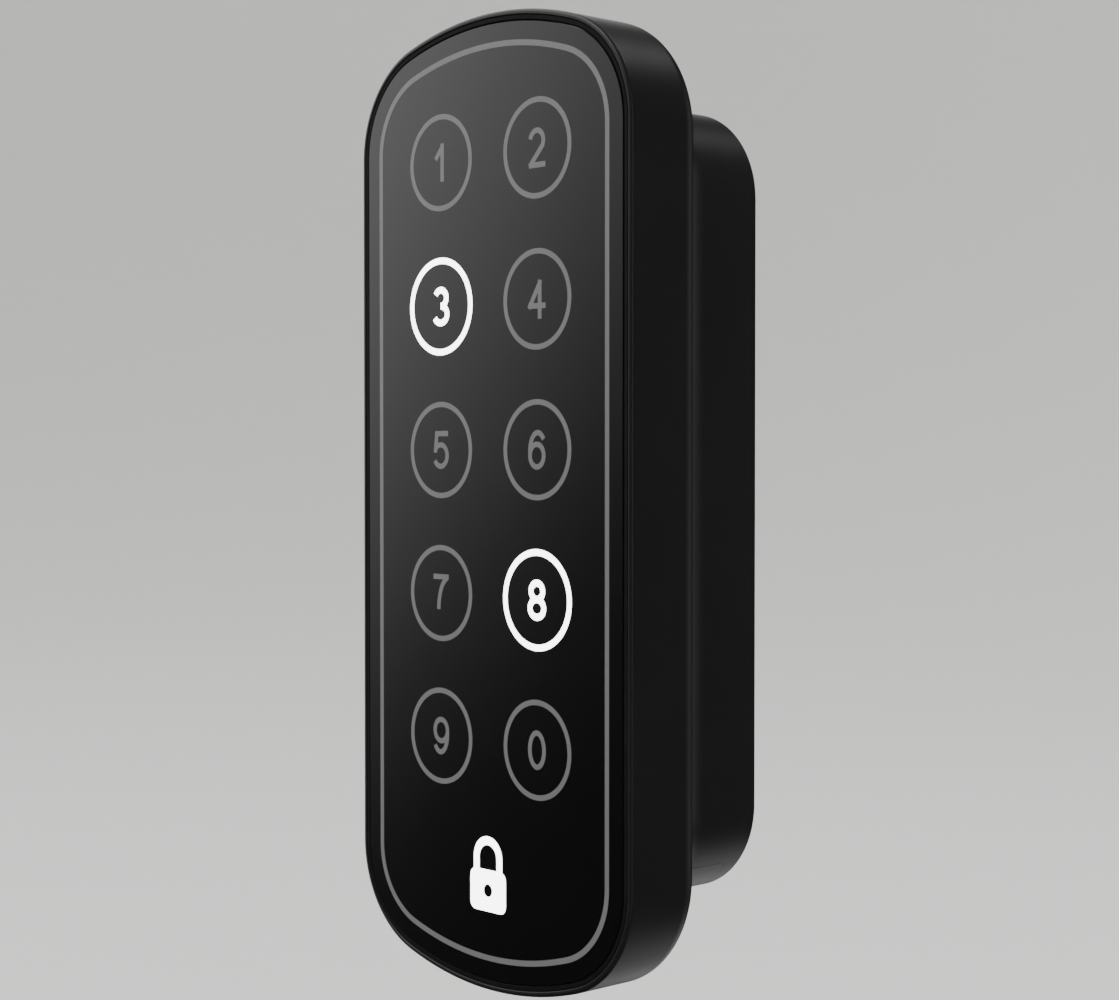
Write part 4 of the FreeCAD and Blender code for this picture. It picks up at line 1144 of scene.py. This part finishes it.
@dataclass
class Face:
    """Cover glass with the print on it: a border line, ten keys and a status mark."""

    case: Case
    inset: float = 1.5 * MM
    bevel: float = 0.15 * MM
    film: float = 0.03 * MM
    proud: float = 0.012 * MM
    border_inset: float = 4.4 * MM
    border_width: float = 0.76 * MM
    pitch: float = 19.5 * MM
    middle_z: float = 7.2 * MM
    rows: tuple[str, ...] = ("12", "34", "56", "78", "90")
    lit: str = "38"
    key_radius: float = 6.2 * MM
    key_line: float = 0.72 * MM
    lit_line: float = 0.86 * MM
    digit_width: float = 2.75 * MM
    digit_height: float = 4.45 * MM
    digit_stroke: float = 0.72 * MM
    lit_stroke: float = 0.9 * MM
    mark_z: float = -48.8 * MM
    front: float = field(init=False)

    def __post_init__(self) -> None:
        """Reads the glass's front from the frame."""
        self.front = -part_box("cover_glass")[0].y

    def glass(self) -> Piece:
        """The cover glass, with a ground edge."""
        outline = self.case.head.grown(-self.inset)
        back = -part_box("cover_glass")[1].y
        rings = [outline.at(back), outline.at(self.front - self.bevel)]
        rings.append(outline.grown(-self.bevel).at(self.front))
        return smoothed(loft("glass_pane", rings))

    def band(self, name: str, outer: Ring, inner: Ring) -> Piece:
        """Film between two rings on the glass.

        Args:
            name: Name of the piece.
            outer: The outer ring.
            inner: The inner ring.

        Returns:
            The piece.
        """
        lift = Vector((0, -self.proud, 0))
        sink = Vector((0, self.film - self.proud, 0))
        rings = [
            [point + sink for point in outer],
            [point + lift for point in outer],
            [point + lift for point in inner],
            [point + sink for point in inner],
        ]
        return loft(name, rings, loop=True)

    def border(self) -> Piece:
        """The border line that runs parallel to the head's outline."""
        middle = self.case.head.grown(-self.border_inset)
        half = self.border_width / 2
        outer, inner = middle.grown(half), middle.grown(-half)
        return self.band("border_line", outer.at(self.front), inner.at(self.front))

    def key_ring(self, name: str, line: float) -> Piece:
        """Ring round a key, about the middle of the frame."""
        outer = circle(self.key_radius + line / 2, self.front)
        return self.band(name, outer, circle(self.key_radius - line / 2, self.front))

    def stroke(self, path: Path, width: float) -> Piece:
        """Film along one stroke, from a grid whose two rows follow the stroke's edges.

        Args:
            path: Points along the middle.
            width: Width of the stroke.

        Returns:
            The piece.
        """
        bpy.ops.object.select_all(action="DESELECT")
        bpy.ops.mesh.primitive_grid_add(x_subdivisions=len(path) - 1, y_subdivisions=1, size=1)
        piece = named("stroke")
        bpy.ops.object.mode_set(mode="EDIT")
        mesh = editing(piece)
        rows = ribbon(path, width)
        for index, vertex in enumerate(mesh.verts):
            vertex.co = rows[index // len(path)][index % len(path)]
        bmesh.update_edit_mesh(piece.data)
        bpy.ops.mesh.select_all(action="SELECT")
        bpy.ops.mesh.remove_doubles(threshold=MERGE)
        bpy.ops.mesh.extrude_region_move(TRANSFORM_OT_translate={"value": (0, self.film, 0)})
        bpy.ops.mesh.select_all(action="SELECT")
        bpy.ops.mesh.normals_make_consistent(inside=False)
        bpy.ops.object.mode_set(mode="OBJECT")
        return piece

    def digit(self, sign: str, x: float, z: float, stroke: float) -> Piece:
        """One digit, made of strokes that are joined into one film.

        Args:
            sign: The digit.
            x: Its middle.
            z: Its middle.
            stroke: Width of its strokes.

        Returns:
            The piece.
        """
        paths = [part.path(self.digit_width, self.digit_height, stroke) for part in DIGITS[sign]]
        shapes = [self.stroke(path, stroke) for path in paths]
        piece = shapes[0]
        for shape in shapes[1:]:
            combine(piece, shape, "UNION")
        piece.name = f"digit_{sign}"
        piece.data.name = piece.name
        return moved(piece, x, -self.front - self.proud, z)

    def status_mark(self) -> Piece:
        """Lit status mark: a plain open padlock, as a shackle and a body."""
        width, height, line = 7.2 * MM, 5.6 * MM, 1.15 * MM
        low = Vector((-width / 2, -self.front - self.proud, self.mark_z - height))
        body = block("mark_body", low, low + Vector((width, self.film, height)), 1.1 * MM, along=1)
        levels = (self.front - 1 * MM, self.front + 1 * MM)
        hole = [circle(0.85 * MM, level, 0, self.mark_z - height / 2) for level in levels]
        combine(body, loft("keyhole", hole), "DIFFERENCE")
        reach, rise, foot = 2.3 * MM, 1.6 * MM, -0.3 * MM
        bow = [(reach * math.cos(turn), rise + reach * math.sin(turn)) for turn in spread(0.0, math.pi, 20)]
        path = [(reach, foot), *bow, (-reach, foot)]
        shackle = moved(self.stroke(path, line), 0.0, -self.front - self.proud, self.mark_z)
        combine(body, shackle, "UNION")
        body.name = "status_mark"
        body.data.name = "status_mark"
        return body

    def build(self) -> None:
        """Builds and settles the glass and its print."""
        settle(self.glass(), "lock_case", "cover_glass", GLASS_BLACK, "cover_glass")
        settle(self.border(), "lock_case", "light_guide", PRINT_GREY)
        lit_ring = self.key_ring("lit_ring", self.lit_line)
        rings = {True: lit_ring, False: self.key_ring("ring", self.key_line)}
        for row, signs in enumerate(self.rows):
            z = self.middle_z + (2 - row) * self.pitch
            for side, sign in zip((-1, 1), signs):
                x = side * self.pitch / 2
                lit = sign in self.lit
                finish = PRINT_LIT if lit else PRINT_GREY
                ring = moved(copied(rings[lit], f"key_ring_{sign}"), x, 0.0, z)
                settle(ring, "lock_case", "light_guide", finish)
                digit = self.digit(sign, x, z, self.lit_stroke if lit else self.digit_stroke)
                settle(digit, "lock_case", "light_guide", finish)
        for ring in rings.values():
            bpy.data.objects.remove(ring)
        settle(self.status_mark(), "lock_case", "light_guide", PRINT_LIT)


# ---------------------------------------------------------------- cam behind the door


@dataclass
class Latch:
    """Cam with its washer and screw, on the square of the spindle."""

    spindle_z: float = 19.0 * MM
    front: float = -5.5 * MM
    back: float = -8.0 * MM
    hub: float = 9.0 * MM
    tip: float = 7.0 * MM
    reach: float = 40.0 * MM
    fillet: float = 4.0 * MM
    square: float = 6.0 * MM
    rounding: float = 0.3 * MM
    washer: float = 4.5 * MM
    washer_thick: float = 0.6 * MM
    screw: float = 2.0 * MM
    head: float = 3.5 * MM
    head_height: float = 2.4 * MM
    head_edge: float = 0.7 * MM
    screw_end: float = -0.5 * MM
    socket: float = 1.45 * MM
    socket_depth: float = 1.5 * MM

    def outline(self, inset: float) -> Path:
        """Outline of the cam about the spindle: a hub, hollow shoulders and a round tip.

        Args:
            inset: How far inside the full outline it lies.

        Returns:
            The points, in order.
        """
        hub, half, fillet = self.hub - inset, self.tip - inset, self.fillet + inset
        across = half + fillet
        down = math.sqrt((hub + fillet) ** 2 - across**2)
        tangent = math.atan2(-down, across)
        right = [(hub * math.cos(a), hub * math.sin(a)) for a in spread(math.pi / 2, tangent, 24)]
        shoulder = spread(math.pi + tangent, math.pi, 10)
        right += [(across + fillet * math.cos(a), -down + fillet * math.sin(a)) for a in shoulder[1:]]
        tip_z = -(self.reach - self.tip)
        right += [(half * math.cos(a), tip_z + half * math.sin(a)) for a in spread(0, -math.pi / 2, 16)]
        return right + [(-x, z) for x, z in reversed(right[1:-1])]

    def ring(self, inset: float, height: float) -> Ring:
        """The cam's outline as a ring at a height."""
        return [Vector((x, -height, self.spindle_z + z)) for x, z in self.outline(inset)]

    def cam(self) -> Piece:
        """The stamped cam with its square hole."""
        edge = quarter_round(self.rounding, 3)
        rings = [self.ring(inset, self.front - drop) for drop, inset in edge]
        rings += [self.ring(inset, self.back + rise) for inset, rise in edge]
        piece = loft("cam_arm", rings)
        half = self.square / 2 + 0.02 * MM
        low = Vector((-half, -self.front - 1 * MM, self.spindle_z - half))
        high = Vector((half, -self.back + 1 * MM, self.spindle_z + half))
        combine(piece, block("square_hole", low, high, 0.4 * MM, along=1), "DIFFERENCE")
        return smoothed(piece)

    def cam_washer(self) -> Piece:
        """Flat washer with broken edges."""
        edge = 0.08 * MM
        top, foot = self.back, self.back - self.washer_thick
        outer, inner = self.washer, self.screw + 0.1 * MM
        profile = [(outer - edge, top), (outer, top - edge), (outer, foot + edge), (outer - edge, foot)]
        profile += [(inner + edge, foot), (inner, foot + edge), (inner, top)]
        shape = [circle(radius, height, z=self.spindle_z) for radius, height in profile]
        return smoothed(loft("flat_washer", shape, loop=True))

    def cam_screw(self) -> Piece:
        """Cap screw with a rounded head and a hexagon socket."""
        seat = self.back - self.washer_thick
        top = seat - self.head_height
        profile = [(self.screw, self.screw_end), (self.screw, seat), (self.head, seat)]
        profile += [(self.head - inset, top + drop) for inset, drop in quarter_round(self.head_edge, 6)]
        rings = [circle(radius, height, z=self.spindle_z) for radius, height in profile]
        piece = loft("socket_screw", rings)
        corner = self.socket / math.cos(math.radians(30))
        levels = (top - 1 * MM, top + self.socket_depth)
        hexagon = [circle(corner, level, z=self.spindle_z, steps=6) for level in levels]
        combine(piece, loft("socket", hexagon), "DIFFERENCE")
        cone = ((corner + 0.15 * MM, top - 0.1 * MM), (corner - 0.25 * MM, top + 0.3 * MM))
        sink = [circle(radius, height, z=self.spindle_z) for radius, height in cone]
        combine(piece, loft("sink", sink), "DIFFERENCE")
        return smoothed(piece)

    def build(self) -> None:
        """Builds and settles the cam, its washer and its screw."""
        settle(self.cam(), "cam_spindle", "cam_steel", CAM_STEEL, "cam")
        settle(self.cam_washer(), "cam_spindle", "screw_steel", SCREW_STEEL, "cam_washer")
        settle(self.cam_screw(), "cam_spindle", "screw_steel", SCREW_STEEL, "cam_screw")


# ---------------------------------------------------------------- battery tray and cells


@dataclass
class Battery:
    """Tray that slides out of the neck's foot, with its two cells."""

    case: Case
    seam: float = 0.04 * MM
    front_top: float = -47.6 * MM
    rail_outer: float = 15.4 * MM
    rail: float = 0.6 * MM
    rail_top: float = 10.0 * MM
    low: float = 2.6 * MM
    floor: float = 0.7 * MM
    top: float = 3.2 * MM
    notch_radius: float = 3.2 * MM
    notch_half_width: float = 7.0 * MM
    notch_z: float = -56.8 * MM
    notch_height: float = 9.0 * MM
    cell_radius: float = 7.25 * MM
    cell_length: float = 49.5 * MM
    cell_pitch: float = 14.8 * MM
    cell_height: float = 10.65 * MM
    cell_foot: float = -47.1 * MM
    nub: float = 1.0 * MM
    nub_radius: float = 2.7 * MM
    nub_edge: float = 0.35 * MM
    wrap: float = 0.12 * MM
    heel: float = 0.6 * MM
    shoulder: float = 0.8 * MM

    def notch(self) -> Piece:
        """Cutter for the finger notch, with rounded ends."""
        rings = []
        for share in (-1.0, 1.0):
            x = share * self.notch_half_width
            ring = upright_circle(self.notch_radius, 0.0, 0.0, 0.0, steps=64)
            rings.append([Vector((x, p.y - self.notch_height, p.x + self.notch_z)) for p in ring])
        return softened(loft("notch", rings), 1.4 * MM, 5)

    def tray(self) -> Piece:
        """The tray: its front follows the neck's foot, and a floor with two rails carries the cells."""
        piece = combine(self.case.solid("tray_shell"), self.case.mouth(self.seam), "INTERSECT")
        floor_top = -self.low - self.floor
        low = Vector((-self.rail_outer, floor_top, self.front_top - 0.5 * MM))
        floor = block("floor", low, Vector((self.rail_outer, -self.low, self.top)), 0.25 * MM)
        combine(piece, floor, "UNION")
        low = Vector((self.rail_outer - self.rail, -self.rail_top, self.front_top - 0.5 * MM))
        right = block("rail", low, Vector((self.rail_outer, -self.low, self.top)), 0.2 * MM)
        combine(piece, moved(copied(right, "left"), self.rail - 2 * self.rail_outer), "UNION")
        combine(piece, right, "UNION")
        combine(piece, self.notch(), "DIFFERENCE")
        low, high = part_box("tray_seal")
        groove = block("groove", low - Vector((1, 1, 0)) * MM, high + Vector((1, 1, 0)) * MM)
        depth = 0.5 * MM
        kept = block("kept", low + Vector((depth, depth, -MM)), high - Vector((depth, depth, -MM)))
        combine(groove, kept, "DIFFERENCE")
        combine(piece, groove, "DIFFERENCE")
        return smoothed(piece)

    def cell(self, name: str) -> Piece:
        """The right-hand cell: wrap, rounded shoulders, insulating ring and raised positive end on top.

        Args:
            name: Name of the piece.

        Returns:
            The piece.
        """
        radius = self.cell_radius
        profile = [(radius - 1.5 * MM, 0.0), (radius - 1.2 * MM, 0.08 * MM)]
        profile += [(radius - inset, self.wrap + rise) for rise, inset in quarter_round(self.heel, 4)]
        top = self.cell_length
        profile += [(radius - inset, top - drop) for inset, drop in quarter_round(self.shoulder, 5)]
        profile += [(radius - 1.3 * MM, top - 0.02 * MM), (radius - 1.45 * MM, top - 0.25 * MM)]
        profile += [(self.nub_radius + 0.5 * MM, top - 0.25 * MM), (self.nub_radius, top)]
        nub_top = top + self.nub
        nub_edge = quarter_round(self.nub_edge, 4)
        profile += [(self.nub_radius - inset, nub_top - drop) for inset, drop in nub_edge]
        x, foot = self.cell_pitch / 2, self.cell_foot
        rings = [upright_circle(reach, foot + level, x, self.cell_height) for reach, level in profile]
        return smoothed(loft(name, rings), 30.0)

    def build(self) -> None:
        """Builds and settles the tray and its cells, of which the left-hand one stands on its head."""
        settle(self.tray(), "tray", "tray_black", TRAY_BLACK, "battery_tray")
        low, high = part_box("battery_cells")
        right = self.cell("cell_right")
        left = copied(right, "cell_left")
        left.data.transform(Matrix.Translation((0, 0, low.z + high.z)) @ Matrix.Rotation(math.pi, 4, "Y"))
        band = (high.z - low.z) * 0.28
        for piece, edge, upwards in ((left, low.z + band, False), (right, high.z - band, True)):
            wrap = Wrap(
                f"{piece.name}_wrap", (0.018, 0.019, 0.021), 0.28, depth=0.001 * MM, coat=0.3,
                band=(0.6, 0.22, 0.05), edge=edge, upwards=upwards,
            )
            settle(piece, "tray", "cell_jacket", wrap, "battery_cells")


# ---------------------------------------------------------------- studio


@dataclass(frozen=True)
class SoftBox:
    """A rectangular soft light that is aimed at a point."""

    name: str
    place: tuple[float, float, float]
    aim: tuple[float, float, float]
    size: tuple[float, float]
    power: float

    def build(self) -> None:
        """Adds the light."""
        way = Vector(self.aim) - Vector(self.place)
        turn = way.to_track_quat("-Z", "Y").to_euler()
        bpy.ops.object.light_add(type="AREA", location=self.place, rotation=turn)
        lamp = bpy.context.object
        lamp.name = self.name
        lamp.data.name = self.name
        lamp.data.shape = "RECTANGLE"
        lamp.data.size, lamp.data.size_y = self.size
        lamp.data.energy = self.power


@dataclass
class Studio:
    """Pale floor with a raised rim, soft lights and the camera."""

    camera_place: tuple[float, float, float] = (213.8 * MM, -216.5 * MM, 6.6 * MM)
    camera_way: tuple[float, float, float] = (-0.7355, 0.6776, -0.0215)
    lens: float = 68.26
    sensor: float = 36.0
    clear: float = 12 * MM
    flat_radius: float = 1.1
    sweep: float = 0.9
    wall: float = 1.6
    sky_way: tuple[float, float, float] = (-0.9, 0.0, 0.43)
    sky_edge: tuple[float, float] = (0.612, 0.85)
    sky_glow: tuple[float, float] = (0.03, 2.5)
    lights: tuple[SoftBox, ...] = (
        SoftBox("key_light", (-0.35, -0.75, 0.85), (0, 0, 0.02), (0.5, 0.5), 7.0),
        SoftBox("top_light", (0.15, 0.28, 0.6), (0, -0.01, 0), (0.3, 0.3), 1.0),
        SoftBox("back_light", (0.2, 0.65, 0.05), (0.02, -0.01, 0), (0.22, 0.6), 0.32),
        SoftBox("edge_light", (0.5, -0.22, 0.05), (0.02, -0.03, 0), (0.12, 0.5), 0.5),
        SoftBox("low_light", (-0.02, 0.16, -0.2), (0.01, -0.01, -0.05), (0.2, 0.1), 0.08),
    )

    def floor(self) -> None:
        """Pale floor, low enough for the open tray, that sweeps up into a rim all round."""
        travel = max(j["range_m"][1] for j in frame["joints"] if j["type"] == "slide")
        level = CAD_BOX[0].z - travel - self.clear
        rings = [(0.02, 0.0), (self.flat_radius, 0.0)]
        for turn in quarter_turn(16)[1:]:
            rise = self.sweep * (1 - math.cos(turn))
            rings.append((self.flat_radius + self.sweep * math.sin(turn), rise))
        rings.append((self.flat_radius + self.sweep, self.wall))
        shape = [upright_circle(radius, level + rise, 0.0, 0.0, steps=128) for radius, rise in rings]
        piece = loft("floor", shape)
        bpy.ops.object.mode_set(mode="EDIT")
        pick_faces(piece, lambda place: place.z > level + self.wall - 0.01)
        bpy.ops.mesh.delete(type="ONLY_FACE")
        bpy.ops.mesh.select_all(action="SELECT")
        bpy.ops.mesh.flip_normals()
        bpy.ops.object.mode_set(mode="OBJECT")
        smoothed(piece, 40.0)
        WARDROBE.dress(piece, FLOOR_PAPER)
        piece.visible_glossy = False
        piece.visible_shadow = False

    def sky(self) -> None:
        """Soft surround: brightest high on the left, dark below."""
        world = bpy.data.worlds.new("surround")
        world.use_nodes = True
        bpy.context.scene.world = world
        tree = Tree(world.node_tree)
        background = world.node_tree.nodes["Background"]
        background.inputs["Color"].default_value = (1.0, 1.0, 1.0, 1.0)
        way = tree.add("TexCoord").outputs["Generated"]
        bright = tree.add("VectorMath", operation="DOT_PRODUCT")
        bright.inputs[1].default_value = Vector(self.sky_way).normalized()
        tree.wire(way, bright.inputs[0])
        ramp = tree.add("MapRange", interpolation_type="SMOOTHSTEP")
        ramp.inputs["From Min"].default_value, ramp.inputs["From Max"].default_value = self.sky_edge
        ramp.inputs["To Min"].default_value, ramp.inputs["To Max"].default_value = self.sky_glow
        tree.wire(bright.outputs["Value"], ramp.inputs["Value"])
        tree.wire(ramp.outputs["Result"], background.inputs["Strength"])

    def camera(self) -> None:
        """The camera, near eye level, to the right of the door."""
        turn = Vector(self.camera_way).to_track_quat("-Z", "Y").to_euler()
        bpy.ops.object.camera_add(location=self.camera_place, rotation=turn)
        camera = bpy.context.object
        camera.name = "camera"
        camera.data.lens = self.lens
        camera.data.sensor_width = self.sensor
        camera.data.clip_start = 0.01
        bpy.context.scene.camera = camera

    def build(self) -> None:
        """Sets up the studio."""
        self.floor()
        self.sky()
        for light in self.lights:
            light.build()
        self.camera()


# ---------------------------------------------------------------- the whole lock


def dress_carried_over() -> None:
    """Gives every node that stays its finish."""
    for node, finish in CARRIED_OVER.items():
        WARDROBE.dress(frame["nodes"][node], finish)
        log.info("%s keeps its shape, as %s", node, finish.name)


def main() -> None:
    """Builds the lock and its studio."""
    logging.basicConfig(level=logging.INFO, format="%(message)s")
    bpy.ops.object.select_all(action="DESELECT")
    case = Case()
    case.build()
    Face(case).build()
    Latch().build()
    Battery(case).build()
    dress_carried_over()
    Studio().build()


if __name__ == "__main__":
    main()
